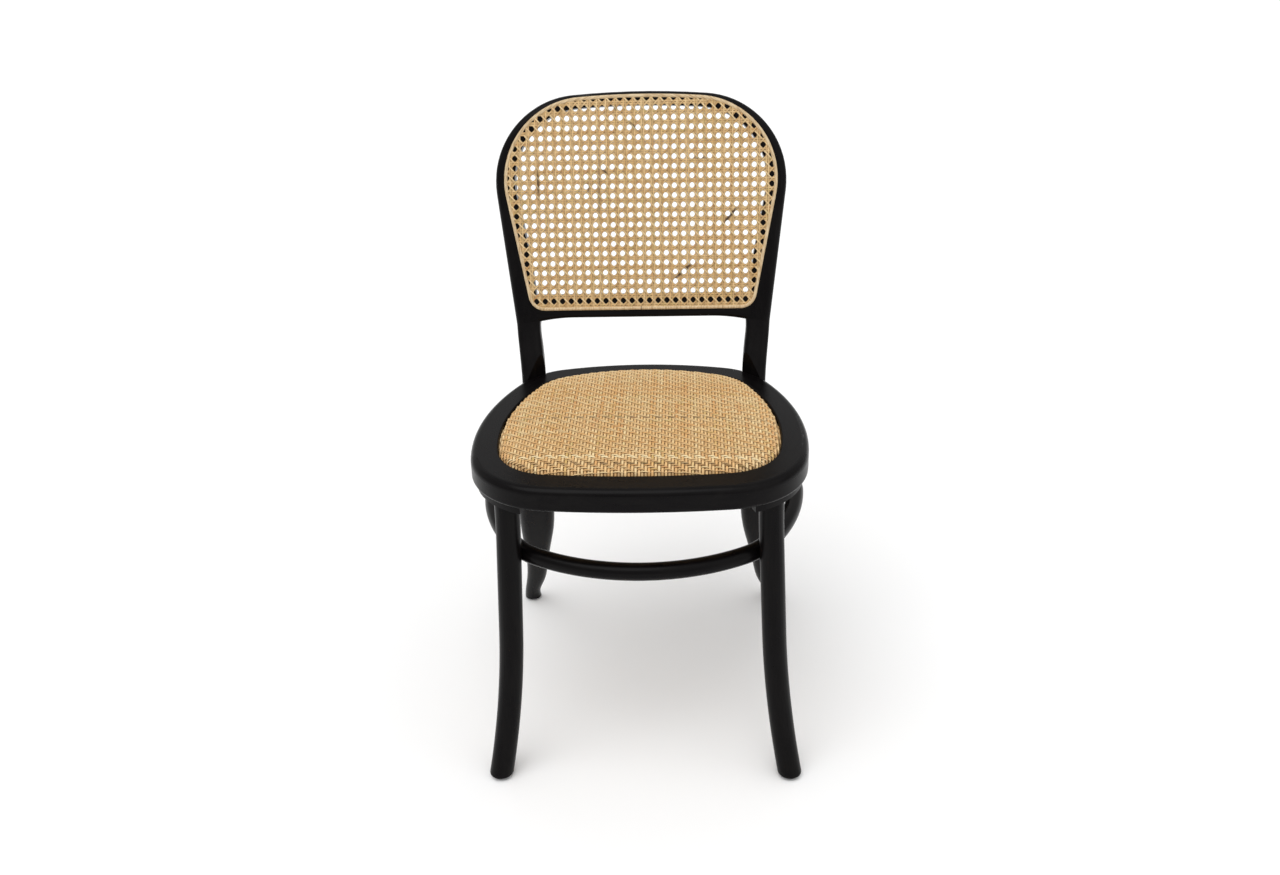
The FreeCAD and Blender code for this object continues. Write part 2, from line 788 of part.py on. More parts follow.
flats = []
notches = []
for side in (1, -1):
    flats.append(prism(seatSide, ringBottom, size("seatHeight"), lean, side))
    flats.append(prism(seatSide, size("seatHeight"), size("seatHeight") + 2 * postReach, 0.0, side))
    notches.append(prism(postSide, ringBottom - 1.0, size("seatHeight") + 1.0, lean, side))
postFlats = feature("post_flats", Part.makeCompound(flats))
ringNotches = feature("ring_notches", Part.makeCompound(notches))

# Bolts of the posts: a sunk head under a plug, a washer, and a barrel nut inside the ring.

boltHeight = size("seatHeight") - size("boltDrop")
boltMiddle = (jointOuter + jointInner) * 0.5
boltMiddle = Vector(boltMiddle.x, boltMiddle.y - lean * size("boltDrop"), boltHeight)
boltSlack = 0.2


def alongBolt(side, distance):
    point = boltMiddle + jointOut * distance
    return Vector(side * point.x, point.y, point.z)


def inwards(side):
    return Vector(-side * jointOut.x, -jointOut.y, 0)


def boltRod(side, radius, outer, inner):
    return rod(alongBolt(side, outer), inwards(side), radius, outer - inner)


boltParts = {"post_bolts": [], "bolt_washers": [], "barrel_nuts": [], "bolt_plugs": []}
boreParts = []
nutHoles = []
headFloor = size("boreFloor") + size("washerThick")
headTop = headFloor + size("boltHeadThick")
for side in (1, -1):
    head = boltRod(side, size("boltHeadRadius"), headTop, headFloor)
    shank = boltRod(side, size("boltRadius"), headFloor + 1.0, -size("boltReach"))
    boltParts["post_bolts"].append(head.fuse(shank).removeSplitter())
    washer = boltRod(side, size("washerRadius"), headFloor, size("boreFloor"))
    hole = boltRod(side, size("boltRadius") + boltSlack, headFloor + 1.0, size("boreFloor") - 1.0)
    boltParts["bolt_washers"].append(washer.cut(hole))
    low = alongBolt(side, -size("nutReach")) - Vector(0, 0, 0.5 * size("nutLength"))
    nut = rod(low, Vector(0, 0, 1), size("nutRadius"), size("nutLength"))
    boltParts["barrel_nuts"].append(nut.cut(boltRod(side, size("boltRadius"), 0.0, -size("boltReach"))))
    plug = boltRod(side, size("boreRadius"), 2 * postReach, size("plugFloor"))
    boltParts["bolt_plugs"].append(plug.common(bentFrame.Shape))
    boreParts.append(boltRod(side, size("boreRadius"), 2 * postReach, size("boreFloor")))
    boreParts.append(
        boltRod(side, size("boltRadius") + boltSlack, size("boreFloor") + 1.0, -size("boltReach") - 1.0))
    nutBottom = Vector(low.x, low.y, ringBottom - 1.0)
    nutHoles.append(rod(nutBottom, Vector(0, 0, 1), size("nutRadius"), low.z + size("nutLength") - nutBottom.z))
boltPieces = [feature(label, Part.makeCompound(shapes)) for label, shapes in boltParts.items()]
boltBores = feature("bolt_bores", Part.makeCompound(boreParts))
nutBores = feature("nut_bores", Part.makeCompound(nutHoles))

backHoop = cutFrom(
    "back_hoop", bentFrame, [window, postFlats, groove] + mortises + [boltBores, stretcherBar, stretcherHoles])
doc.recompute()

# Seat ring: bent to a rounded trapezium, soft edges, rabbeted for the panel.

ring = newBody("ring_bent", Placement(Vector(0, 0, ringBottom), Rotation()))
ring.setExpression("Placement.Base.z", "sizes.seatHeight - sizes.ringThick")
ringOuter = newSketch(ring, "ring_outline")
addLoop(ringOuter, seatOutline("ring"))
ringPad = ring.newObject("PartDesign::Pad", "ring_pad")
ringPad.Profile = ringOuter
ringPad.setExpression("Length", "sizes.ringThick")
doc.recompute()
topRound = ring.newObject("PartDesign::Fillet", "ring_top_round")
topRound.Base = (ringPad, levelEdges(ring.Shape, size("seatHeight")))
topRound.setExpression("Radius", "sizes.ringTopRound")
doc.recompute()
bottomRound = ring.newObject("PartDesign::Fillet", "ring_bottom_round")
bottomRound.Base = (topRound, levelEdges(ring.Shape, ringBottom))
bottomRound.setExpression("Radius", "sizes.ringBottomRound")
doc.recompute()
rabbetSketch = newSketch(ring, "rabbet", offset=Placement(Vector(0, 0, size("ringThick")), Rotation()))
rabbetSketch.setExpression("AttachmentOffset.Base.z", "sizes.ringThick")
addLoop(rabbetSketch, seatOutline("panel", size("panelGap")))
rabbet = ring.newObject("PartDesign::Pocket", "rabbet_pocket")
rabbet.Profile = rabbetSketch
rabbet.setExpression("Length", "sizes.rabbetDepth")
openSketch = newSketch(ring, "opening", offset=Placement(Vector(0, 0, size("ringThick")), Rotation()))
openSketch.setExpression("AttachmentOffset.Base.z", "sizes.ringThick")
addLoop(openSketch, seatOutline("panel", -size("ledgeWidth")))
opening = ring.newObject("PartDesign::Pocket", "opening_pocket")
opening.Profile = openSketch
opening.setExpression("Length", "sizes.ringThick + 1")
doc.recompute()
rimRoom = Part.Face(wireOf(seatOutline("panel", size("panelGap") + 1.0)))


def onRabbetRim(edge):
    middle = edge.valueAt(0.5 * (edge.FirstParameter + edge.LastParameter))
    atTop = abs(edge.BoundBox.ZMin - size("seatHeight")) < 0.01
    return atTop and rimRoom.isInside(Vector(middle.x, middle.y, 0), 0.01, True)


rimRound = ring.newObject("PartDesign::Fillet", "rabbet_round")
rimRound.Base = (opening, edgeNames(ring.Shape, onRabbetRim))
rimRound.setExpression("Radius", "sizes.rabbetRound")
doc.recompute()

# Blocks under the seat ring at the front legs: a piece of the ring's plan, thinner and set in.

ringPoints, ringCentres = halfOutline(
    size("ringFront"), size("ringRear"), size("ringHalfWidth"), size("ringWidestY"),
    [size("ring" + name) for name in ("FrontRadius", "FrontCorner", "SideRadius", "RearCorner", "RearRadius")])
cornerAt = ringCentres[1]
legAway = legTop - cornerAt
legAngle = math.atan2(legAway.y, legAway.x)
blockBottom = ringBottom - size("blockThick")
blockLift = Vector(0, 0, blockBottom)
blockBandIn = 2.0
blockRoom = 0.3


def aroundCorner(reach, distance):
    angle = legAngle + reach / legAway.Length
    return cornerAt + Vector(math.cos(angle), math.sin(angle), 0) * distance


band = plateOf(
    wireOf(seatOutline("ring", -size("blockInset"))),
    [wireOf(seatOutline("panel", blockBandIn - size("ledgeWidth")))], 0.0, size("blockThick"))
wedge = Part.Face(Part.makePolygon([
    cornerAt,
    aroundCorner(-size("blockReach"), 3 * postReach),
    aroundCorner(size("blockReach"), 3 * postReach),
    cornerAt,
])).extrude(Vector(0, 0, size("blockThick")))
legHole = rod(
    legTop - Vector(0, 0, 1), Vector(0, 0, 1), size("legRadius") + blockRoom, size("blockThick") + 2.0)
blockScrewSizes = (3.6, 2.0, 2.0, 23.0)
blockScrewReach = 29.0
blockSpots = [aroundCorner(reach, legAway.Length) for reach in (-blockScrewReach, blockScrewReach)]
upwards = Vector(0, 0, 1)
blockShape = band.common(wedge).cut(legHole)
blockShape.translate(blockLift)
blockBlank = feature("leg_block_blank", blockShape)
blockScrewShapes = []
blockHoleShapes = []
for spot in blockSpots + [flipped(spot) for spot in blockSpots]:
    blockScrewShapes.append(screw(spot + blockLift, upwards, blockScrewSizes))
    blockHoleShapes.append(screw(spot + blockLift, upwards, blockScrewSizes, openWay))
blockScrews = feature("block_screws", Part.makeCompound(blockScrewShapes))
blockHoles = feature("block_holes", Part.makeCompound(blockHoleShapes))
blockLeft = cutFrom("leg_block_left", blockBlank, [blockHoles])
blockRight = mirrored("leg_block_right", blockLeft)

# Screws through the ledge into the seat board.

seatScrewSizes = (3.5, 2.0, 2.0, 19.0)
seatScrewInset = 7.0
screwLine = seatOutline("panel", -seatScrewInset)
seatSpots = []
for k, share in ((0, 0.7), (4, 0.3)):
    edge = screwLine[k].toShape()
    spot = edge.valueAt(edge.FirstParameter + share * (edge.LastParameter - edge.FirstParameter))
    seatSpots += [spot, flipped(spot)]
ringLift = Vector(0, 0, ringBottom)
seatScrews = feature("seat_screws", Part.makeCompound(
    [screw(spot + ringLift, upwards, seatScrewSizes) for spot in seatSpots]))
seatHoles = feature("seat_holes", Part.makeCompound(
    [screw(spot + ringLift, upwards, seatScrewSizes, openWay) for spot in seatSpots]))

spigotRoom = 0.1
sockets = []
for side in (1, -1):
    start = Vector(side * size("legTopX"), size("legTopY"), ringBottom - 1.0)
    sockets.append(rod(start, upwards, size("spigotRadius") + spigotRoom, size("spigotLength") + 1.0))
legSockets = feature("leg_sockets", Part.makeCompound(sockets))
seatRing = cutFrom(
    "seat_ring", ring, [ringNotches, boltBores, nutBores, legSockets, blockHoles, seatHoles])
doc.recompute()

# Seat panel: board, crowned foam and the woven cover drawn over both.

coverInset = 1.0
foamSlack = 0.3
boardInset = coverInset + size("coverThick") + foamSlack
board = newBody("board_plate", Placement(Vector(0, 0, ledgeTop), Rotation()))
board.setExpression("Placement.Base.z", "sizes.seatHeight - sizes.rabbetDepth")
boardSketch = newSketch(board, "board_outline")
addLoop(boardSketch, seatOutline("panel", -boardInset))
boardPad = board.newObject("PartDesign::Pad", "board_pad")
boardPad.Profile = boardSketch
boardPad.setExpression("Length", "sizes.boardThick")
doc.recompute()
seatBoard = cutFrom("seat_board", board, [seatHoles])

# crown of the cover: share of its rise, distance in from the outline, scale of the outline
crownLine = [
    (0.0, 0.0, 1.0),
    (0.22, 2.0, 1.0),
    (0.45, 7.5, 1.0),
    (0.66, 19.0, 1.0),
    (0.82, 38.0, 0.98),
    (0.93, 26.0, 0.74),
    (1.0, 14.0, 0.42),
]


def crowned(distance, bottom):
    # solid under the cover's outer face moved inwards, from the bottom height upwards
    wallTop = ledgeTop + size("coverWall")
    top = size("seatHeight") + size("crownHeight") - distance
    wires = []
    for share, away, scale in crownLine:
        height = wallTop + (top - wallTop) * share
        wires.append(wireOf(seatOutline("panel", -coverInset - distance - away, scale, height)))
    dome = Part.makeLoft(wires, True, True)
    wall = Part.Face(wireOf(seatOutline("panel", -coverInset - distance, 1.0, bottom)))
    return dome.fuse(wall.extrude(Vector(0, 0, wallTop - bottom)))


coverHollow = 1.0
cover = crowned(0.0, ledgeTop).cut(crowned(size("coverThick"), ledgeTop - coverHollow))
seatCover = feature("seat_cover", cover)
seatFoam = feature("seat_foam", crowned(size("coverThick") + foamSlack, ledgeTop + size("boardThick")))

# Glides under the feet.

glides = []
for name, x, y in (
    ("front_left", size("legFootX"), size("legFootY")),
    ("front_right", -size("legFootX"), size("legFootY")),
    ("rear_left", size("rearFootX"), size("rearFootY")),
    ("rear_right", -size("rearFootX"), size("rearFootY")),
):
    glide = newBody("glide_" + name, Placement(Vector(x, y, 0), Rotation()))
    disc = newSketch(glide, "disc_" + name)
    addCircle(disc, size("glideRadius"), "sizes.glideRadius")
    discPad = glide.newObject("PartDesign::Pad", "disc_pad_" + name)
    discPad.Profile = disc
    discPad.setExpression("Length", "sizes.glideThick")
    doc.recompute()
    bevel = glide.newObject("PartDesign::Chamfer", "bevel_" + name)
    bevel.Base = (discPad, levelEdges(glide.Shape, 0.0))
    bevel.setExpression("Size", "sizes.glideChamfer")
    glides.append(glide)
doc.recompute()

nodes = [
    backHoop, backRail, canePanel, reed, seatRing, seatBoard, seatFoam, seatCover,
    frontLegLeft, frontLegRight, stretcher, blockLeft, blockRight,
    stretcherScrews, seatScrews, blockScrews,
] + boltPieces + glides

for item in doc.Objects:
    if "Invalid" in item.State or "Error" in item.State:
        raise RuntimeError("not computed: " + item.Label)

for node in nodes:
    shape = checked(node.Shape, node.Label)
    shape.exportStep("parts/%s.step" % node.Label)
    box = shape.BoundBox
    print("%-20s solids %d volume %9.0f  X %.1f %.1f  Y %.1f %.1f  Z %.1f %.1f" % (
        node.Label, len(shape.Solids), shape.Volume,
        box.XMin, box.XMax, box.YMin, box.YMax, box.ZMin, box.ZMax))
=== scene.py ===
import math

import bmesh
import bpy
import numpy as np
from mathutils import Matrix, Vector


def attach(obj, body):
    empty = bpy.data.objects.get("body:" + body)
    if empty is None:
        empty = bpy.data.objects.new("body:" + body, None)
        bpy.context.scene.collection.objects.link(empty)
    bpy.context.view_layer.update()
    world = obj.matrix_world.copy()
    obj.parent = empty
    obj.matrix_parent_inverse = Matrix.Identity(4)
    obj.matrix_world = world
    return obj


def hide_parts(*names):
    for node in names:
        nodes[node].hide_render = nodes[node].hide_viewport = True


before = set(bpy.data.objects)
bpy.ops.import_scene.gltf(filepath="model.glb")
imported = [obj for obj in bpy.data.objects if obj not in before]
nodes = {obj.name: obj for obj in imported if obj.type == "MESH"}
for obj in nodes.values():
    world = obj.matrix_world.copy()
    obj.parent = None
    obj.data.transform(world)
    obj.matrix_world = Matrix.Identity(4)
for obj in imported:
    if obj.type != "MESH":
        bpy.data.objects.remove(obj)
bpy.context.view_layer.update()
print("frame loaded:", len(nodes), "nodes")

milli = 0.001


# Small helpers for node trees.

def put(tree, kind, inputs=None, **settings):
    node = tree.nodes.new(kind)
    for key, value in settings.items():
        setattr(node, key, value)
    for key, value in (inputs or {}).items():
        plug = node.inputs[key]
        if isinstance(value, bpy.types.NodeSocket):
            tree.links.new(value, plug)
        else:
            plug.default_value = value
    return node


def calc(tree, operation, *values):
    inputs = {index: value for index, value in enumerate(values)}
    return put(tree, "ShaderNodeMath", inputs, operation=operation).outputs[0]


def vector(tree, x=0.0, y=0.0, z=0.0):
    return put(tree, "ShaderNodeCombineXYZ", {0: x, 1: y, 2: z}).outputs[0]


def split(tree, value):
    return put(tree, "ShaderNodeSeparateXYZ", {0: value}).outputs


def stretch(tree, value, factors):
    return put(tree, "ShaderNodeVectorMath", {0: value, 1: factors}, operation="MULTIPLY").outputs[0]


def distance(tree, x, y):
    return calc(tree, "SQRT", calc(tree, "MULTIPLY_ADD", x, x, calc(tree, "MULTIPLY", y, y)))


def objectPlace(tree):
    return put(tree, "ShaderNodeTexCoord").outputs["Object"]


def noise(tree, where, scale, detail, **more):
    inputs = {"Vector": where, "Scale": scale, "Detail": detail, **more}
    return put(tree, "ShaderNodeTexNoise", inputs).outputs[0]


def blend(tree, share, first, second, **settings):
    # sockets 6 and 7 of a mix are its two colours
    inputs = {0: share, 6: first, 7: second}
    return put(tree, "ShaderNodeMix", inputs, data_type="RGBA", **settings).outputs[2]


def colour(text):
    # colour written as seen on screen, turned linear
    parts = [int(text[k:k + 2], 16) / 255 for k in (0, 2, 4)]
    return tuple(c / 12.92 if c < 0.04045 else ((c + 0.055) / 1.055) ** 2.4 for c in parts) + (1.0,)


def ramp(tree, factor, stops):
    # a stop is a place and a colour, or a number for a grey
    node = put(tree, "ShaderNodeValToRGB", {0: factor})
    band = node.color_ramp
    while len(band.elements) < len(stops):
        band.elements.new(0.5)
    for element, (place, shade) in zip(band.elements, stops):
        element.position = place
        element.color = shade if isinstance(shade, tuple) else (shade, shade, shade, 1.0)
    return node.outputs[0]


def addSocket(tree, title, kind, way="INPUT"):
    return tree.interface.new_socket(title, in_out=way, socket_type="NodeSocket" + kind).identifier


def startGroup(name, kinds):
    # shader group with the given inputs, that gives a finish's colour, roughness and height
    tree = bpy.data.node_groups.new(name, "ShaderNodeTree")
    for title, kind in kinds.items():
        addSocket(tree, title, kind)
    for title, kind in (("Color", "Color"), ("Roughness", "Float"), ("Height", "Float")):
        addSocket(tree, title, kind, way="OUTPUT")
    return tree, put(tree, "NodeGroupInput").outputs


def startMaterial(name, **constants):
    material = bpy.data.materials.new(name)
    material.use_nodes = True
    tree = material.node_tree
    tree.nodes.clear()
    shader = put(tree, "ShaderNodeBsdfPrincipled")
    for key, value in constants.items():
        shader.inputs[key.replace("_", " ")].default_value = value
    put(tree, "ShaderNodeOutputMaterial", {"Surface": shader.outputs[0]})
    return material, tree, shader


def connect(tree, shader, shade, rough, height, look):
    bump = put(tree, "ShaderNodeBump", {
        "Height": height, "Strength": look["bump"], "Distance": look["bumpDepth"]}).outputs[0]
    for title, value in (("Base Color", shade), ("Roughness", rough), ("Normal", bump)):
        tree.links.new(value, shader.inputs[title])


# Stained wood: one material for each way that the grain runs.

wood = {
    "stain": "080607", "worn": "0f0d0d",
    "specular": 0.09, "bump": 0.14, "bumpDepth": 0.00012,
    # noise per metre, along the grain and across it
    "pores": (28.0, 520.0, 520.0), "figure": (9.0, 75.0, 75.0), "lacquer": 260.0,
    "poreShade": 0.35, "poreHeight": 0.55, "lacquerHeight": 0.2,
    "roughness": 0.22, "lacquerRough": 0.06, "figureRough": 0.08,
    # the grain turns round the middle of the rings, and above the bow's spring
    "ringCentreY": -0.0435, "ringRadius": 0.21,
    "bowSpringZ": 0.70, "bowRadius": 0.17,
}


def makeWoodGroup():
    # Grain: the piece's own running coordinates, x along the grain, in metres
    tree, source = startGroup("stainedBeech", {"Grain": "Vector", "Stain": "Color", "Worn": "Color"})
    pores = noise(tree, stretch(tree, source["Grain"], wood["pores"]), 1.0, 3.0, Roughness=0.6)
    figure = noise(tree, stretch(tree, source["Grain"], wood["figure"]), 1.0, 2.0, Distortion=0.4)
    lacquer = noise(tree, source["Grain"], wood["lacquer"], 2.0)
    deep = ramp(tree, pores, [(0.36, 0.0), (0.52, 1.0)])
    tint = blend(tree, ramp(tree, figure, [(0.35, 0.0), (0.72, 1.0)]), source["Stain"], source["Worn"])
    dark = blend(tree, wood["poreShade"], tint, deep, blend_type="MULTIPLY")
    rough = calc(tree, "MULTIPLY_ADD", lacquer, wood["lacquerRough"], wood["roughness"])
    rough = calc(tree, "MULTIPLY_ADD", figure, wood["figureRough"], rough)
    height = calc(tree, "MULTIPLY", lacquer, wood["lacquerHeight"])
    height = calc(tree, "MULTIPLY_ADD", deep, wood["poreHeight"], height)
    put(tree, "NodeGroupOutput", {"Color": dark, "Roughness": rough, "Height": height})
    return tree


woodGroup = makeWoodGroup()


def bowCourse(tree, part, side):
    # up a leg, then round the top: metres along, and metres from the middle of the arc
    rise = calc(tree, "MAXIMUM", calc(tree, "SUBTRACT", part[2], wood["bowSpringZ"]), 0.0)
    fall = calc(tree, "MAXIMUM", calc(tree, "SUBTRACT", wood["bowSpringZ"], part[2]), 0.0)
    along = calc(tree, "MULTIPLY_ADD", calc(tree, "ARCTAN2", side, rise), wood["bowRadius"], fall)
    return along, distance(tree, part[0], rise)


def grainSocket(tree, course):
    where = objectPlace(tree)
    if course == "level":
        return where
    part = split(tree, where)
    if course == "upright":
        return vector(tree, part[2], part[0], part[1])
    if course == "round":
        # seam of the turning angle lies at the back of the ring
        forward = calc(tree, "SUBTRACT", wood["ringCentreY"], part[1])
        angle = calc(tree, "ARCTAN2", part[0], forward)
        along = calc(tree, "MULTIPLY", angle, wood["ringRadius"])
        return vector(tree, along, distance(tree, part[0], forward), part[2])
    along, reach = bowCourse(tree, part, calc(tree, "ABSOLUTE", part[0]))
    return vector(tree, along, reach, part[1])


def makeWood(name, course):
    material, tree, shader = startMaterial(name, Specular_IOR_Level=wood["specular"])
    out = put(tree, "ShaderNodeGroup", {
        "Grain": grainSocket(tree, course), "Stain": colour(wood["stain"]), "Worn": colour(wood["worn"]),
    }, node_tree=woodGroup).outputs
    connect(tree, shader, out["Color"], out["Roughness"], out["Height"], wood)
    return material


bowWood = makeWood("stained_wood_bow", "bow")
ringWood = makeWood("stained_wood_ring", "round")
legWood = makeWood("stained_wood_leg", "upright")
railWood = makeWood("stained_wood_rail", "level")
print("wood materials made")


# Cane: fibres along each strand, with painted shade towards its edges and a painted shadow where it dives
# under others.

fibre = {
    # noise per strand, per metre along it and over its width
    "perStrand": 37.0, "patches": 22.0, "streaks": 90.0, "streaksAcross": 5.0, "hues": 13.0, "hueLevel": 9.0,
    "strandShare": 0.42, "patchShare": 0.58,
    "edgePower": 2.5, "paintedEdgeShade": 0.7,
    "roughness": 0.34, "roughSpread": 0.22,
}
cane = {
    "back": {"Deep": "5f3f1e", "Middle": "dab074", "Pale": "f1d19c", "Green": "b5a362", "Red": "bf8552"},
    "seat": {"Deep": "8d5c2b", "Middle": "efbd7b", "Pale": "ffe6b0", "Green": "c9b067", "Red": "cf8d52"},
    "stain": "4a3420",
    # pale colour for pale marks, and for the painted highlight on the slants that lie on top
    "paleAndHighlightTone": "f6e2b4",
    # painted shadow where a strand passes under the ones that cross it: its colour, and its share for each
    # cane
    "shade": "6e4a24",
    "underShadow": {"back": 0.26, "seat": 0.42},
    "specular": 0.35, "bump": 0.5, "bumpDepth": 0.0002,
}


def makeFibreGroup():
    # Strand: random number per strand, Along: metres along it, Across: -1 to 1 over its width
    kinds = dict.fromkeys(("Strand", "Along", "Across"), "Float")
    kinds.update(dict.fromkeys(("Deep", "Middle", "Pale", "Green", "Red"), "Color"))
    tree, source = startGroup("caneFibre", kinds)
    home = calc(tree, "MULTIPLY", source["Strand"], fibre["perStrand"])
    across = calc(tree, "MULTIPLY", source["Across"], fibre["streaksAcross"])
    slow, fine, wide = (
        calc(tree, "MULTIPLY", source["Along"], fibre[key]) for key in ("patches", "streaks", "hues"))
    patches = noise(tree, vector(tree, slow, home), 1.0, 2.0)
    streaks = noise(tree, vector(tree, fine, home, across), 1.0, 3.0, Roughness=0.65)
    hues = noise(tree, vector(tree, wide, home, fibre["hueLevel"]), 1.0, 1.0)
    level = calc(tree, "MULTIPLY", patches, fibre["patchShare"])
    level = calc(tree, "MULTIPLY_ADD", source["Strand"], fibre["strandShare"], level)
    # painted shade: each strand darker towards its edges, where its rounded face turns from the light
    edge = calc(tree, "POWER", calc(tree, "ABSOLUTE", source["Across"]), fibre["edgePower"])
    shade = source["Middle"]
    for tone, share in (
        ("Pale", ramp(tree, level, [(0.25, 0.0), (0.75, 1.0)])),
        ("Deep", ramp(tree, streaks, [(0.30, 0.75), (0.55, 0.0)])),
        ("Green", ramp(tree, hues, [(0.28, 0.55), (0.42, 0.0)])),
        ("Red", ramp(tree, hues, [(0.60, 0.0), (0.74, 0.6)])),
        ("Deep", calc(tree, "MULTIPLY", edge, fibre["paintedEdgeShade"])),
    ):
        shade = blend(tree, share, shade, source[tone])
    rough = calc(tree, "MULTIPLY_ADD", streaks, fibre["roughSpread"], fibre["roughness"])
    put(tree, "NodeGroupOutput", {"Color": shade, "Roughness": rough, "Height": streaks})
    return tree


fibreGroup = makeFibreGroup()


def attribute(tree, name):
    return put(tree, "ShaderNodeAttribute", attribute_name=name, attribute_type="GEOMETRY").outputs["Fac"]


def makeCane(name, kind):
    material, tree, shader = startMaterial(name, Specular_IOR_Level=cane["specular"])
    inputs = {key: colour(text) for key, text in cane[kind].items()}
    inputs.update({title: attribute(tree, title.lower()) for title in ("Strand", "Along", "Across")})
    out = put(tree, "ShaderNodeGroup", inputs, node_tree=fibreGroup).outputs
    # painted shadow: darker where a strand passes under the ones that cross it
    half = 0.5 * cane["underShadow"][kind]
    underShadow = calc(tree, "MULTIPLY_ADD", attribute(tree, "over"), -half, half)
    shade = out["Color"]
    # the pale layer holds pale marks and a painted highlight
    stain, paleAndHighlight = (attribute(tree, layer) for layer in ("stain", "paleAndHighlight"))
    for share, tone in ((underShadow, "shade"), (stain, "stain"), (paleAndHighlight, "paleAndHighlightTone")):
        shade = blend(tree, share, shade, colour(cane[tone]))
    connect(tree, shader, shade, out["Roughness"], out["Height"], cane)
    return material


backCane = makeCane("back_cane", "back")
seatCane = makeCane("seat_cane", "seat")


# Split reed in the groove, pale, with its butt joint low in the middle.

reed = {
    "shades": ("a98a63", "cdb48d", "e2cfae"), "joint": "2c2018",
    "grain": (60.0, 900.0, 300.0), "roughness": 0.4, "roughSpread": 0.2,
    "specular": 0.35, "bump": 0.4, "bumpDepth": 0.00015,
    "jointBelow": 0.575, "jointX": -0.0015, "jointHalf": 0.0004,
}


def makeReed():
    material, tree, shader = startMaterial("reed", Specular_IOR_Level=reed["specular"])
    part = split(tree, objectPlace(tree))
    along, reach = bowCourse(tree, part, part[0])
    fibres = noise(tree, stretch(tree, vector(tree, along, reach, part[1]), reed["grain"]), 1.0, 3.0)
    shade = ramp(tree, fibres, list(zip((0.3, 0.5, 0.75), map(colour, reed["shades"]))))
    low = calc(tree, "LESS_THAN", part[2], reed["jointBelow"])
    aside = calc(tree, "ABSOLUTE", calc(tree, "SUBTRACT", part[0], reed["jointX"]))
    gap = calc(tree, "MULTIPLY", low, calc(tree, "LESS_THAN", aside, reed["jointHalf"]))
    shade = blend(tree, gap, shade, colour(reed["joint"]))
    rough = calc(tree, "MULTIPLY_ADD", fibres, reed["roughSpread"], reed["roughness"])
    connect(tree, shader, shade, rough, fibres, reed)
    return material


# Board and small pieces.

board = {
    "shades": ("a17b4c", "c7a272", "dcbd90"), "grain": (9.0, 160.0, 900.0),
    "roughness": 0.5, "roughSpread": 0.15, "specular": 0.3, "bump": 0.2, "bumpDepth": 0.0002,
}
speckle = {"roughSpread": 0.2, "specular": 0.4, "bump": 0.2, "bumpDepth": 0.0002}


def makePlywood():
    # birch face under the seat, plies at the edge
    material, tree, shader = startMaterial("seat_plywood", Specular_IOR_Level=board["specular"])
    grain = noise(tree, stretch(tree, objectPlace(tree), board["grain"]), 1.0, 4.0, Distortion=0.6)
    shade = ramp(tree, grain, list(zip((0.25, 0.5, 0.8), map(colour, board["shades"]))))
    rough = calc(tree, "MULTIPLY_ADD", grain, board["roughSpread"], board["roughness"])
    connect(tree, shader, shade, rough, grain, board)
    return material


def makeSpeckled(name, low, high, scale, rough, metal=0.0):
    # two shades of noise
    material, tree, shader = startMaterial(name, Metallic=metal, Specular_IOR_Level=speckle["specular"])
    grain = noise(tree, objectPlace(tree), scale, 4.0)
    shade = ramp(tree, grain, [(0.3, colour(low)), (0.7, colour(high))])
    rough = calc(tree, "MULTIPLY_ADD", grain, speckle["roughSpread"], rough)
    connect(tree, shader, shade, rough, grain, speckle)
    return material


reedCane = makeReed()
plywood = makePlywood()
zincSteel = makeSpeckled("zinc_steel", "8d8f92", "b4b6b8", scale=300.0, rough=0.28, metal=1.0)
darkSteel = makeSpeckled("dark_screws", "1d1c1c", "34312f", scale=500.0, rough=0.35, metal=1.0)
glidePlastic = makeSpeckled("glide_plastic", "191919", "262524", scale=400.0, rough=0.45)
# underlay cloth under the weave, its colour set dark as painted shade in the gaps between the strands
padClothGapShade = makeSpeckled("seat_pad_cloth_gap_shade", "5e4223", "7d5a30", scale=900.0, rough=0.7)
print("cane and small materials made")


# Outlines, in millimetres.

seat = {
    "front": -204.0, "rear": 127.0, "half": 188.5, "widestY": -81.8,
    # front, front corner, side, rear corner, rear
    "radii": (1029.0, 75.6, 328.7, 73.8, 290.9),
    "inset": 1.0, "slack": 0.4, "cloth": 1.1,
    "around": 220,
    "ledge": 447.0, "wall": 12.0, "top": 475.0,
    # height over the ledge and distance in, at the foot of the pad, and the middle of its underside
    "foot": [(0.5, 1.5), (4.0, 0.6)], "underside": 8.0,
    # height over the wall and distance in, of the skirt that takes the strands' ends down
    "skirt": [(-6.0, -2.0), (0.5, 0.0)],
    # share of the crown's rise, distance in from the edge, scale of the outline
    "crown": [
        (0.0, 0.0, 1.0), (0.13, 0.5, 1.0), (0.25, 1.6, 1.0), (0.38, 4.0, 1.0), (0.50, 8.5, 1.0),
        (0.60, 15.0, 1.0), (0.70, 24.0, 1.0), (0.79, 36.0, 1.0), (0.87, 30.0, 0.86), (0.93, 24.0, 0.70),
        (0.97, 18.0, 0.50), (0.993, 12.0, 0.28), (1.0, 6.0, 0.10),
    ],
}
seatMiddleY = 0.5 * (seat["front"] + seat["rear"])
seatWallTop = seat["ledge"] + seat["wall"]
back = {
    "planeY": 138.2, "planeZ": 552.8, "tilt": 16.1,
    "top": 309.8, "bottom": 2.4, "topRadius": 1200.0, "corner": 118.0,
    "footHalf": 162.6, "flare": 0.196, "footCorner": 24.0,
    "reedWidth": 5.0, "around": 300,
}
backMatrix = Matrix.Translation((0.0, back["planeY"] * milli, back["planeZ"] * milli)) @ Matrix.Rotation(
    math.pi / 2 - math.radians(back["tilt"]), 4, "X")


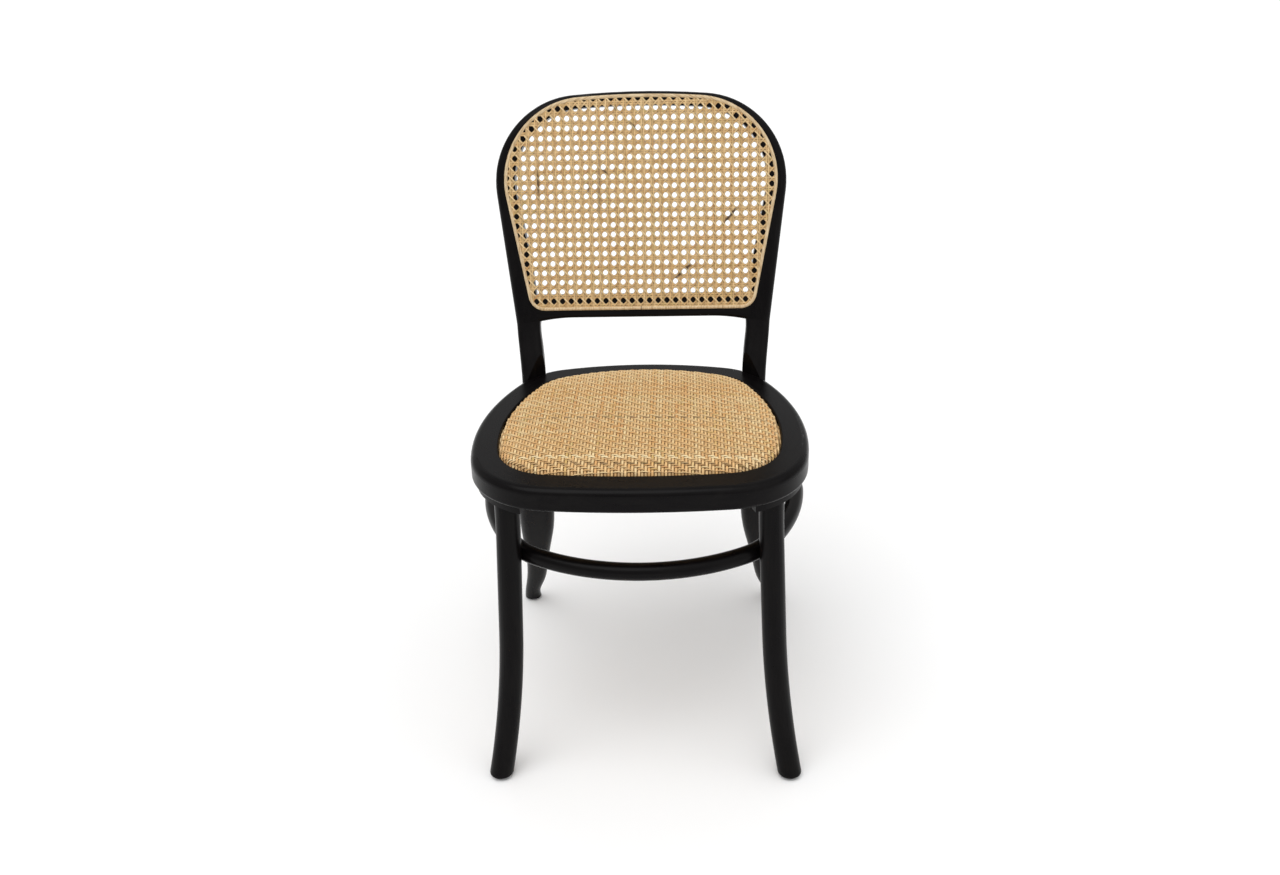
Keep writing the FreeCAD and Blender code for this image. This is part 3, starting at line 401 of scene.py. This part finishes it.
def cornerCentre(a, radiusA, b, radiusB, radius):
    # centre of an arc that touches two others from inside, on the +x side
    between = b - a
    nearA, nearB = radiusA - radius, radiusB - radius
    along = (nearA ** 2 - nearB ** 2 + between.length ** 2) / (2 * between.length)
    across = math.sqrt(max(nearA ** 2 - along ** 2, 0.0))
    forward = between.normalized()
    side = Vector((-forward.y, forward.x))
    return max((a + forward * along + side * across * k for k in (1, -1)), key=lambda point: point.x)


def arcPoints(centre, radius, start, end):
    # a point for each millimetre, without the last
    a = math.atan2(start.y - centre.y, start.x - centre.x)
    b = math.atan2(end.y - centre.y, end.x - centre.x)
    turn = (b - a + math.pi) % (2 * math.pi) - math.pi
    count = max(int(abs(turn) * radius), 2)
    return [centre + Vector((math.cos(a + turn * k / count), math.sin(a + turn * k / count))) * radius
            for k in range(count)]


def closedRun(right, last, count):
    # the right half, its last point and the mirrored left half, as evenly spaced points
    left = [Vector((-point.x, point.y)) for point in reversed(right[1:])]
    loop = np.array([tuple(point) for point in right + [last] + left + right[:1]])
    travelled = np.concatenate([[0.0], np.cumsum(np.hypot(*np.diff(loop, axis=0).T))])
    wanted = np.linspace(0.0, travelled[-1], count, endpoint=False)
    return np.stack([np.interp(wanted, travelled, loop[:, axis]) for axis in (0, 1)], axis=1)


def seatEdge(inset, scale=1.0):
    # closed run that starts at the middle of the front
    front = seatMiddleY + (seat["front"] - seatMiddleY) * scale + inset
    rear = seatMiddleY + (seat["rear"] - seatMiddleY) * scale - inset
    radii = [value * scale - inset for value in seat["radii"]]
    widest = seatMiddleY + (seat["widestY"] - seatMiddleY) * scale
    frontArc = Vector((0.0, front + radii[0]))
    sideArc = Vector((seat["half"] * scale - inset - radii[2], widest))
    rearArc = Vector((0.0, rear - radii[4]))
    frontCorner = cornerCentre(frontArc, radii[0], sideArc, radii[2], radii[1])
    rearCorner = cornerCentre(sideArc, radii[2], rearArc, radii[4], radii[3])
    joints = [Vector((0.0, front))]
    for arc, corner, radius in (
        (frontArc, frontCorner, radii[0]), (sideArc, frontCorner, radii[2]),
        (sideArc, rearCorner, radii[2]), (rearArc, rearCorner, radii[4]),
    ):
        joints.append(arc + (corner - arc).normalized() * radius)
    joints.append(Vector((0.0, rear)))
    right = []
    for k, centre in enumerate((frontArc, frontCorner, sideArc, rearCorner, rearArc)):
        right += arcPoints(centre, radii[k], joints[k], joints[k + 1])
    return closedRun(right, joints[-1], seat["around"])


def caneEdge(inset):
    # outline of the groove in the back, moved inwards
    flare = back["flare"]
    slope = Vector((flare, 1.0)).normalized()
    outward = Vector((slope.y, -slope.x))
    foot = back["footHalf"] - inset * math.hypot(1, flare)
    corner, topRadius = back["corner"] - inset, back["topRadius"] - inset
    top, bottom, small = back["top"] - inset, back["bottom"] + inset, back["footCorner"] - inset
    topCentre = Vector((0.0, top - topRadius))
    # the corner's centre slides along the side until its arc touches the top's
    level = foot * outward.x - corner
    low, high = 0.0, top
    for _ in range(50):
        y = 0.5 * (low + high)
        x = (level - y * outward.y) / outward.x
        if math.hypot(x, y - topCentre.y) < topRadius - corner:
            low = y
        else:
            high = y
    bend = Vector(((level - low * outward.y) / outward.x, low))
    topStart = topCentre + (bend - topCentre).normalized() * topRadius
    smallLevel = foot * outward.x - small
    heel = Vector(((smallLevel - (bottom + small) * outward.y) / outward.x, bottom + small))
    right = [Vector((0.0, bottom)), Vector((0.5 * heel.x, bottom))]
    right += arcPoints(heel, small, Vector((heel.x, bottom)), heel + outward * small)
    right += [heel + outward * small]
    right += arcPoints(bend, corner, bend + outward * corner, topStart)
    right += arcPoints(topCentre, topRadius, topStart, Vector((0.0, top)))
    return closedRun(right, Vector((0.0, top)), back["around"])


def meshObject(name, points, faces, material=None):
    mesh = bpy.data.meshes.new(name)
    mesh.from_pydata([tuple(point) for point in points], [], faces)
    mesh.update()
    thing = bpy.data.objects.new(name, mesh)
    bpy.context.scene.collection.objects.link(thing)
    if material:
        mesh.materials.append(material)
    return thing


def flatFace(name, loop, level):
    points = [(x * milli, y * milli, level * milli) for x, y in loop]
    return meshObject(name, points, [list(range(len(points)))])


# Seat pad: a closed crowned form on the board, under the weave.

def crownRows():
    # height, distance in from the edge of the pad, scale of the outline
    rise = seat["top"] - seat["cloth"] - seatWallTop
    return [(seatWallTop + rise * share, away, scale) for share, away, scale in seat["crown"]]


def loftRows(rows):
    # closed runs joined row by row, with a point in the middle of the last one
    points, faces = [], []
    count = seat["around"]
    for height, away, scale in rows:
        for x, y in seatEdge(seat["inset"] + seat["slack"] + away, scale):
            points.append((x * milli, y * milli, height * milli))
    for row in range(len(rows) - 1):
        a, b = row * count, (row + 1) * count
        for k in range(count):
            n = (k + 1) % count
            faces.append((a + k, a + n, b + n, b + k))
    lastRow = (len(rows) - 1) * count
    points.append((0.0, seatMiddleY * milli, rows[-1][0] * milli))
    for k in range(count):
        faces.append((lastRow + k, lastRow + (k + 1) % count, len(points) - 1))
    return points, faces


def makePad():
    rows = [(seat["ledge"] + height, away, 1.0) for height, away in seat["foot"]] + crownRows()
    points, faces = loftRows(rows)
    points.append((0.0, seatMiddleY * milli, (seat["ledge"] + seat["underside"]) * milli))
    count = seat["around"]
    for k in range(count):
        faces.append(((k + 1) % count, k, len(points) - 1))
    pad = meshObject("seat_pad", points, faces, padClothGapShade)
    form = bmesh.new()
    form.from_mesh(pad.data)
    bmesh.ops.recalc_face_normals(form, faces=form.faces)
    form.to_mesh(pad.data)
    form.free()
    pad.data.shade_smooth()
    return pad


def makeBed():
    # what the strands lie on: the crown, with a steep skirt that takes their ends down at the rim
    rows = [(seatWallTop + height, away, 1.0) for height, away in seat["skirt"]] + crownRows()[1:]
    return meshObject("weave_bed", *loftRows(rows))


seatPad = makePad()
print("seat pad made")


# Laid strands: straight runs over a bed, waving over and under those that cross them.

strand = {
    "corners": 6,
    # half a thickness over the height of the corners of a six-sided circle
    "cornerShare": 0.577,
    "shortest": 0.006,
    "rayStart": 2.0, "rayLength": 4.0,
    "rimWave": 0.4,
    "seedStep": 7.0,
}


def makeStrandTree():
    tree = bpy.data.node_groups.new("laidStrands", "GeometryNodeTree")
    addSocket(tree, "Geometry", "Geometry")
    names = {}
    for kind, titles in {
        "Object": ("Bed", "Rim"),
        "Int": ("Strands", "Per Group", "Samples", "Seed"),
        "Vector": ("Middle",),
        "Material": ("Material",),
        "Float": (
            "First", "Pitch", "Group Gap", "Turn", "Reach", "Width", "Thickness", "Lift", "Rim Lift",
            "Rim Width", "Rise", "Wave Length", "Phase", "Phase Per Strand", "Phase Per Group", "Flatness",
            "Waver"),
    }.items():
        for title in titles:
            names[title] = addSocket(tree, title, kind)
    addSocket(tree, "Geometry", "Geometry", way="OUTPUT")
    source = put(tree, "NodeGroupInput").outputs

    def store(flow, name, value, kind="FLOAT"):
        inputs = {"Geometry": flow, "Name": name, "Value": value}
        return put(tree, "GeometryNodeStoreNamedAttribute", inputs, data_type=kind, domain="POINT").outputs[0]

    def named(name, kind="FLOAT"):
        return put(tree, "GeometryNodeInputNamedAttribute", {"Name": name}, data_type=kind).outputs[0]

    def drop(flow, selection, domain):
        inputs = {"Geometry": flow, "Selection": selection}
        return put(tree, "GeometryNodeDeleteGeometry", inputs, domain=domain).outputs[0]

    def move(flow, position):
        return put(tree, "GeometryNodeSetPosition", {"Geometry": flow, "Position": position}).outputs[0]

    def random(seed):
        return put(tree, "FunctionNodeRandomValue", {"Seed": seed}, data_type="FLOAT").outputs[1]

    # one point per strand, with its place across, its phase and a random tone
    flow = put(tree, "GeometryNodeMeshLine", {"Count": source["Strands"]}).outputs[0]
    index = put(tree, "GeometryNodeInputIndex").outputs[0]
    # the quarter keeps the division clear of rounding
    group = calc(tree, "FLOOR", calc(tree, "DIVIDE", calc(tree, "ADD", index, 0.25), source["Per Group"]))
    within = calc(tree, "SUBTRACT", index, calc(tree, "MULTIPLY", group, source["Per Group"]))
    tone = random(source["Seed"])
    wander = random(calc(tree, "ADD", source["Seed"], strand["seedStep"]))
    drift = calc(tree, "MULTIPLY", calc(tree, "SUBTRACT", wander, 0.5), source["Waver"])
    lateral = calc(tree, "MULTIPLY_ADD", group, source["Pitch"], source["First"])
    lateral = calc(tree, "MULTIPLY_ADD", within, source["Group Gap"], lateral)
    lateral = calc(tree, "ADD", lateral, drift)
    phase = calc(tree, "MULTIPLY_ADD", index, source["Phase Per Strand"], source["Phase"])
    phase = calc(tree, "MULTIPLY_ADD", group, source["Phase Per Group"], phase)
    for name, value in (("lateral", lateral), ("phase", phase), ("strand", tone)):
        flow = store(flow, name, value)

    # a straight curve on each point, its samples placed by their share of the run
    low = vector(tree, y=calc(tree, "MULTIPLY", source["Reach"], -1.0))
    high = vector(tree, y=source["Reach"])
    line = put(tree, "GeometryNodeCurvePrimitiveLine", {"Start": low, "End": high}).outputs[0]
    run = put(tree, "GeometryNodeResampleCurve", {"Curve": line, "Count": source["Samples"]}, mode="COUNT")
    copies = put(tree, "GeometryNodeInstanceOnPoints", {"Points": flow, "Instance": run.outputs[0]})
    flow = put(tree, "GeometryNodeRealizeInstances", {"Geometry": copies.outputs[0]}).outputs[0]
    factor = put(tree, "GeometryNodeSplineParameter").outputs["Factor"]
    along = calc(tree, "MULTIPLY", calc(tree, "MULTIPLY_ADD", factor, 2.0, -1.0), source["Reach"])
    flow = store(flow, "along", along)
    flat = vector(tree, named("lateral"), named("along"))
    turned = put(tree, "ShaderNodeVectorRotate", {
        "Vector": flat, "Angle": source["Turn"]}, rotation_type="Z_AXIS")
    placed = put(tree, "ShaderNodeVectorMath", {0: turned.outputs[0], 1: source["Middle"]}, operation="ADD")
    flow = move(flow, placed.outputs[0])

    # down onto the bed; what misses it is cut away
    bed, rim = (
        put(tree, "GeometryNodeObjectInfo", {"Object": source[title]}, transform_space="ORIGINAL")
        for title in ("Bed", "Rim"))
    here = put(tree, "GeometryNodeInputPosition").outputs[0]
    above = put(tree, "ShaderNodeVectorMath", {0: here, 1: (0.0, 0.0, strand["rayStart"])}, operation="ADD")
    ray = put(tree, "GeometryNodeRaycast", {
        "Target Geometry": bed.outputs["Geometry"], "Source Position": above.outputs[0],
        "Ray Direction": (0.0, 0.0, -1.0), "Ray Length": strand["rayLength"]}).outputs
    missed = put(tree, "FunctionNodeBooleanMath", {0: ray["Is Hit"]}, operation="NOT").outputs[0]
    near = put(tree, "GeometryNodeProximity", {
        0: rim.outputs["Geometry"], "Source Position": ray["Hit Position"]}, target_element="EDGES")
    flow = store(flow, "gone", missed, "BOOLEAN")
    flow = store(flow, "level", split(tree, ray["Hit Position"])[2])
    flow = store(flow, "rim", near.outputs["Distance"])
    flow = drop(flow, named("gone", "BOOLEAN"), "POINT")
    length = put(tree, "GeometryNodeSplineLength").outputs["Length"]
    flow = drop(flow, calc(tree, "LESS_THAN", length, strand["shortest"]), "CURVE")

    # over and under, lower and flatter towards the rim
    angle = calc(tree, "DIVIDE", calc(tree, "MULTIPLY", named("along"), 2 * math.pi), source["Wave Length"])
    wave = calc(tree, "COSINE", calc(tree, "ADD", angle, named("phase")))
    wave = calc(tree, "MAXIMUM", calc(tree, "MULTIPLY", wave, source["Flatness"]), -1.0)
    wave = calc(tree, "MINIMUM", wave, 1.0)
    inner = calc(tree, "MINIMUM", calc(tree, "DIVIDE", named("rim"), source["Rim Width"]), 1.0)
    lift = put(tree, "ShaderNodeMix", {0: inner, 2: source["Rim Lift"], 3: source["Lift"]}, data_type="FLOAT")
    share = calc(tree, "MULTIPLY_ADD", inner, 1.0 - strand["rimWave"], strand["rimWave"])
    swing = calc(tree, "MULTIPLY", calc(tree, "MULTIPLY", wave, source["Rise"]), share)
    height = calc(tree, "ADD", calc(tree, "ADD", named("level"), lift.outputs[0]), swing)
    part = split(tree, here)
    flow = store(flow, "over", calc(tree, "MULTIPLY", wave, calc(tree, "SIGN", source["Rise"])))
    flow = move(flow, vector(tree, part[0], part[1], height))
    flow = put(tree, "GeometryNodeSetCurveNormal", {"Curve": flow}, mode="Z_UP").outputs[0]

    # flat strip of six corners, with its own place across
    inputs = {"Resolution": strand["corners"], "Radius": 1.0}
    strip = put(tree, "GeometryNodeCurvePrimitiveCircle", inputs, mode="RADIUS").outputs[0]
    corner = split(tree, here)
    strip = store(strip, "across", corner[0])
    sideways = calc(tree, "MULTIPLY", corner[0], calc(tree, "MULTIPLY", source["Width"], 0.5))
    half = calc(tree, "MULTIPLY", source["Thickness"], strand["cornerShare"])
    strip = move(strip, vector(tree, sideways, calc(tree, "MULTIPLY", corner[1], half)))
    body = put(tree, "GeometryNodeCurveToMesh", {
        "Curve": flow, "Profile Curve": strip, "Fill Caps": True}).outputs[0]
    body = put(tree, "GeometryNodeRealizeInstances", {"Geometry": body}).outputs[0]
    body = put(tree, "GeometryNodeSetShadeSmooth", {"Geometry": body}).outputs[0]
    body = put(tree, "GeometryNodeSetMaterial", {"Geometry": body, "Material": source["Material"]}).outputs[0]
    put(tree, "NodeGroupOutput", {0: body})
    return tree, names


strandTree, strandInputs = makeStrandTree()


def layStrands(name, values, place=None):
    holder = meshObject(name + "_holder", [(0, 0, 0)], [])
    modifier = holder.modifiers.new("strands", "NODES")
    modifier.node_group = strandTree
    for title, value in values.items():
        modifier[strandInputs[title]] = value
    graph = bpy.context.evaluated_depsgraph_get()
    graph.update()
    mesh = bpy.data.meshes.new_from_object(holder.evaluated_get(graph), depsgraph=graph)
    bpy.data.objects.remove(holder)
    mesh.name = name
    if place is not None:
        mesh.transform(place)
    piece = bpy.data.objects.new(name, mesh)
    bpy.context.scene.collection.objects.link(piece)
    print(name, "polygons", len(mesh.polygons))
    return piece


def commonInputs(look, bed, rim, material):
    # what all the strands of a net or a weave share
    values = {title: look[key] * milli for title, key in (
        ("Thickness", "thickness"), ("Lift", "lift"), ("Rim Lift", "rimLift"), ("Rim Width", "rimWidth"),
        ("Waver", "waver"))}
    values.update({
        "Bed": bed, "Rim": rim, "Material": material, "Middle": (0.0, look["middleY"] * milli, 0.0)})
    return values


def paintMarks(piece, marks, place=None, paintedHighlight=0.0):
    # middle x, middle y, half length, slope, half width, strength: dark above zero, pale below
    steepness = 1.6
    mesh = piece.data
    where = np.zeros(len(mesh.vertices) * 3, dtype=np.float32)
    mesh.vertices.foreach_get("co", where)
    where = where.reshape(-1, 3)
    if place is not None:
        turn = np.array(place.inverted())
        where = where @ turn[:3, :3].T + turn[:3, 3]
    # the pale layer starts from an even painted highlight over the whole piece
    layers = {"stain": np.zeros(len(where), dtype=np.float32),
              "paleAndHighlight": np.full(len(where), paintedHighlight, dtype=np.float32)}
    for x, y, half, slope, wide, strength in marks:
        forward = (math.cos(math.radians(slope)), math.sin(math.radians(slope)))
        dx, dy = where[:, 0] - x * milli, where[:, 1] - y * milli
        along = (dx * forward[0] + dy * forward[1]) / (half * milli)
        across = (dy * forward[0] - dx * forward[1]) / (wide * milli)
        shade = abs(strength) * np.clip(steepness - steepness * np.hypot(along, across), 0, 1)
        layer = "stain" if strength > 0 else "paleAndHighlight"
        layers[layer] = np.minimum(np.maximum(layers[layer], shade), 1.0)
    for name, values in layers.items():
        mesh.attributes.new(name, "FLOAT", "POINT").data.foreach_set("value", values)


# Cane of the back: pairs up and across, and two ways of slants.

net = {
    "pitchX": 12.75, "pitchY": 13.73,
    "holeX": -2.25, "holeY": 43.5, "middleY": 152.0,
    "thickness": 0.55, "lift": 1.0, "topSlant": 0.3, "rimLift": 0.2, "rimWidth": 7.0, "waver": 0.25,
    "cut": 2.4,
    # strands or pairs in all and up to the first crossing, half their run, and the gap within a pair
    "uprights": {
        "count": 34, "before": 17, "reach": 162, "gap": 2.75, "width": 2.7, "rise": 0.28, "flat": 1.0},
    "crosses": {
        "count": 26, "before": 5, "reach": 215, "gap": 2.9, "width": 2.85, "rise": 0.38, "flat": 1.0},
    "slants": {
        "count": 56, "before": 28, "reach": 270, "gap": 0.0, "width": 2.25, "rise": 0.62, "flat": 1.2},
    # painted highlight: the slants that lie on top are painted paler, as if they caught more light
    "paintedHighlight": {"cane_slants": 0.35},
    # stains seen on the strands
    "marks": [
        (128.9, 136.9, 18, 50, 2.8, 1.4), (61.6, 58.8, 26, 41, 2.8, 1.4), (-148.0, 185.5, 26, 91, 2.2, 1.0),
        (86.2, 219.0, 15, 0, 2.0, 0.8), (-75.6, 180.4, 11, 90, 2.2, 0.8), (-52.3, 202.8, 10, -45, 2.2, 1.1),
        (-60.0, 180.0, 60, 89, 2.6, 0.5), (-8.0, 264.3, 14, -45, 2.2, 0.9), (-34.7, 291.0, 12, -30, 2.2, 0.8),
    ],
}


def makeNet():
    bed = flatFace("net_bed", caneEdge(net["cut"]), 0.0)
    rim = flatFace("net_rim", caneEdge(back["reedWidth"]), 0.0)
    common = commonInputs(net, bed, rim, backCane)
    pitchX, pitchY = net["pitchX"] * milli, net["pitchY"] * milli
    # crossings lie half a pitch from the openings
    crossX = (net["holeX"] + 0.5 * net["pitchX"]) * milli
    crossY = (net["holeY"] + 0.5 * net["pitchY"]) * milli
    middleY = net["middleY"] * milli
    pieces = []

    def lay(name, family, at, pitch, values):
        # a sample for each two millimetres of the run
        perGroup = 2 if family["gap"] else 1
        pieces.append(layStrands(name, {
            **common, "Strands": perGroup * family["count"], "Per Group": perGroup, "Pitch": pitch,
            "First": at - family["before"] * pitch - 0.5 * family["gap"] * milli,
            "Group Gap": family["gap"] * milli, "Reach": family["reach"] * milli,
            "Samples": family["reach"] + 1, "Width": family["width"] * milli,
            "Rise": family["rise"] * milli, "Flatness": family["flat"], **values,
        }, backMatrix))

    lay("cane_uprights", net["uprights"], crossX, pitchX, {
        "Turn": 0.0, "Wave Length": 2 * pitchY, "Seed": 3,
        "Phase": -math.pi * (crossY - middleY) / pitchY, "Phase Per Strand": math.pi,
    })
    # a quarter turn left: along runs to -x
    lay("cane_crosses", net["crosses"], crossY - middleY, pitchY, {
        "Turn": math.pi / 2, "Wave Length": pitchX, "Seed": 5,
        "Phase": 2 * math.pi * crossX / pitchX + math.pi / 2, "Phase Per Group": math.pi,
    })
    # slants run through the middles between crossings
    lean = math.atan2(pitchX, pitchY)
    diagonal = math.hypot(pitchX, pitchY)
    start = Vector((crossX + 0.5 * pitchX, crossY)) - Vector((0.0, middleY))
    for name, side, seed in (("cane_slants", 1, 11), ("cane_counter_slants", -1, 13)):
        turn = side * lean
        at = start.dot(Vector((math.cos(turn), math.sin(turn))))
        alongAt = start.dot(Vector((-math.sin(turn), math.cos(turn))))
        # one way starts over the others, the second under them; the wave moves along from strand to strand
        perRow = pitchX * math.sin(lean) * -side
        firstAlong = alongAt - net["slants"]["before"] * perRow
        lay(name, net["slants"], at, pitchX * math.cos(lean), {
            "Turn": turn, "Wave Length": diagonal, "Seed": seed,
            "Phase": -2 * math.pi * firstAlong / diagonal + (math.pi if side > 0 else 0.0),
            "Phase Per Strand": -2 * math.pi * perRow / diagonal,
            "Lift": (net["lift"] + (net["topSlant"] if side > 0 else 0.0)) * milli,
        })
    for helper in (bed, rim):
        bpy.data.objects.remove(helper)
    return pieces


netPieces = makeNet()
for piece in netPieces:
    paintMarks(piece, net["marks"], backMatrix, net["paintedHighlight"].get(piece.name, 0.0))
    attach(piece, "root")
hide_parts("cane_panel")
print("cane of the back made")


# Weave of the seat: two-over two-under twill, its lines falling to the front right.

weave = {
    "pitchX": 4.3, "pitchY": 3.87, "middleY": -38.5,
    "thickness": 0.9, "lift": 0.95, "rimLift": 0.4, "rimWidth": 6.0, "waver": 0.4,
    "rise": 0.58, "flat": 1.4, "cut": 0.6,
    # half their run is counted in pitches of the strands that they cross
    "long": {"count": 88, "spans": 44, "width": 3.85, "seed": 21},
    "cross": {"count": 86, "spans": 46, "width": 3.4, "seed": 23},
    # one pale row near the front, a dark one before it and one behind the middle
    "marks": [
        (15.0, -169.4, 330, -1.2, 5.0, -1.3), (16.0, -184.8, 330, -1.2, 3.6, 0.6),
        (13.0, -59.6, 300, -1.4, 3.2, 0.6),
    ],
}


def makeWeave():
    bed = makeBed()
    rim = flatFace("weave_rim", seatEdge(weave["cut"] + seat["inset"]), seatWallTop)
    common = commonInputs(weave, bed, rim, seatCane)
    pitch = {"long": weave["pitchX"] * milli, "cross": weave["pitchY"] * milli}
    first = {kind: -0.5 * (weave[kind]["count"] - 1) * pitch[kind] for kind in pitch}
    pieces = []
    for kind, other, side, turn in (("long", "cross", 1, 0.0), ("cross", "long", -1, math.pi / 2)):
        family = weave[kind]
        pieces.append(layStrands("seat_weave_" + kind, {
            **common, "Strands": family["count"], "Per Group": 1, "First": first[kind], "Pitch": pitch[kind],
            "Turn": turn, "Reach": family["spans"] * pitch[other], "Samples": 4 * family["spans"] + 1,
            "Width": family["width"] * milli, "Rise": side * weave["rise"] * milli,
            "Flatness": weave["flat"], "Wave Length": 4 * pitch[other],
            "Phase": -side * 2 * math.pi * (first[other] / pitch[other] + 0.5) / 4,
            "Phase Per Strand": side * math.pi / 2, "Seed": family["seed"],
        }))
    for helper in (bed, rim):
        bpy.data.objects.remove(helper)
    return pieces


weavePieces = makeWeave()
for piece, marks in zip(weavePieces, ([], weave["marks"])):
    paintMarks(piece, marks)
    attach(piece, "root")
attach(seatPad, "root")
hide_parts("seat_cover", "seat_foam")
print("seat weave made")


# Finishes of the solid pieces.

finishes = {
    "back_hoop": bowWood, "back_rail": railWood, "seat_ring": ringWood, "stretcher_ring": ringWood,
    "front_leg_left": legWood, "front_leg_right": legWood,
    "leg_block_left": railWood, "leg_block_right": railWood,
    "bolt_plugs": legWood, "cane_spline": reedCane, "seat_board": plywood,
    "post_bolts": zincSteel, "bolt_washers": zincSteel, "barrel_nuts": zincSteel,
    "stretcher_screws": darkSteel, "seat_screws": darkSteel, "block_screws": darkSteel,
    "glide_front_left": glidePlastic, "glide_front_right": glidePlastic,
    "glide_rear_left": glidePlastic, "glide_rear_right": glidePlastic,
}
for name, material in finishes.items():
    piece = nodes[name]
    if not piece.material_slots:
        piece.data.materials.append(material)
    for holder in piece.material_slots:
        holder.material = material
print("finishes set")


# Floor, light and camera.

studio = {
    "floorShade": "fdfdfd", "floorRoughness": 0.9,
    # just under the glides
    "floorReach": 30, "floorZ": -0.0005,
    "worldLevel": 0.82, "horizonShare": 0.6,
    # level, spread in degrees, direction
    "suns": {"key": (1.15, 50, (0.25, 0.35, -0.9)), "fill": (0.45, 70, (-0.6, 0.5, -0.6))},
}


def makeFloor():
    reach, level = studio["floorReach"], studio["floorZ"]
    corners = [(x * reach, y * reach, level) for x, y in ((-1, -1), (1, -1), (1, 1), (-1, 1))]
    material, _, shader = startMaterial(
        "floor_paper", Roughness=studio["floorRoughness"], Specular_IOR_Level=0.0)
    shader.inputs["Base Color"].default_value = colour(studio["floorShade"])
    floor = meshObject("floor", corners, [(0, 1, 2, 3)], material)


def makeWorld():
    # white to the camera, softer towards the horizon as a light
    world = bpy.data.worlds.new("studio")
    bpy.context.scene.world = world
    world.use_nodes = True
    tree = world.node_tree
    tree.nodes.clear()
    rays = put(tree, "ShaderNodeLightPath").outputs
    seen = calc(tree, "MAXIMUM", rays["Is Camera Ray"], rays["Is Transmission Ray"])
    up = split(tree, put(tree, "ShaderNodeTexCoord").outputs["Generated"])[2]
    least = studio["horizonShare"]
    height = calc(tree, "MULTIPLY_ADD", calc(tree, "MAXIMUM", up, 0.0), 1.0 - least, least)
    lit = calc(tree, "MULTIPLY", height, studio["worldLevel"])
    level = put(tree, "ShaderNodeMix", {0: seen, 2: lit, 3: 1.0}, data_type="FLOAT")
    sky = put(tree, "ShaderNodeBackground", {"Color": (1.0, 1.0, 1.0, 1.0), "Strength": level.outputs[0]})
    put(tree, "ShaderNodeOutputWorld", {"Surface": sky.outputs[0]})


def addSun(name, level, spread, direction):
    lamp = bpy.data.lights.new(name, "SUN")
    lamp.energy = level
    lamp.angle = math.radians(spread)
    thing = bpy.data.objects.new(name, lamp)
    bpy.context.scene.collection.objects.link(thing)
    thing.rotation_euler = Vector(direction).to_track_quat("-Z", "Y").to_euler()


makeFloor()
makeWorld()
for name, settings in studio["suns"].items():
    addSun(name, *settings)

view = {
    "place": (0.0661, -1.7020, 1.2647), "pitch": 26.59, "yaw": 2.34, "roll": -1.62,
    # focal length in pixels over the picture's width, times the sensor's
    "sensor": 36, "lens": 1339.6 / 1280 * 36, "shiftY": 0.0013,
    "farthest": 100,
}


def makeCamera():
    pitch, yaw, roll = (math.radians(view[key]) for key in ("pitch", "yaw", "roll"))
    ahead = Vector((-math.sin(yaw) * math.cos(pitch), math.cos(yaw) * math.cos(pitch), -math.sin(pitch)))
    right = Vector((math.cos(yaw), math.sin(yaw), 0.0))
    up = right.cross(ahead)
    tiltedRight = right * math.cos(roll) + up * math.sin(roll)
    tiltedUp = up * math.cos(roll) - right * math.sin(roll)
    lens = bpy.data.cameras.new("camera")
    lens.sensor_width = view["sensor"]
    lens.lens = view["lens"]
    lens.shift_y = view["shiftY"]
    lens.clip_end = view["farthest"]
    thing = bpy.data.objects.new("camera", lens)
    bpy.context.scene.collection.objects.link(thing)
    turn = Matrix((tiltedRight, tiltedUp, -ahead)).transposed()
    thing.matrix_world = Matrix.Translation(view["place"]) @ turn.to_4x4()
    bpy.context.scene.camera = thing


makeCamera()
bpy.context.scene.view_settings.view_transform = "Standard"
print("floor, light and camera set")
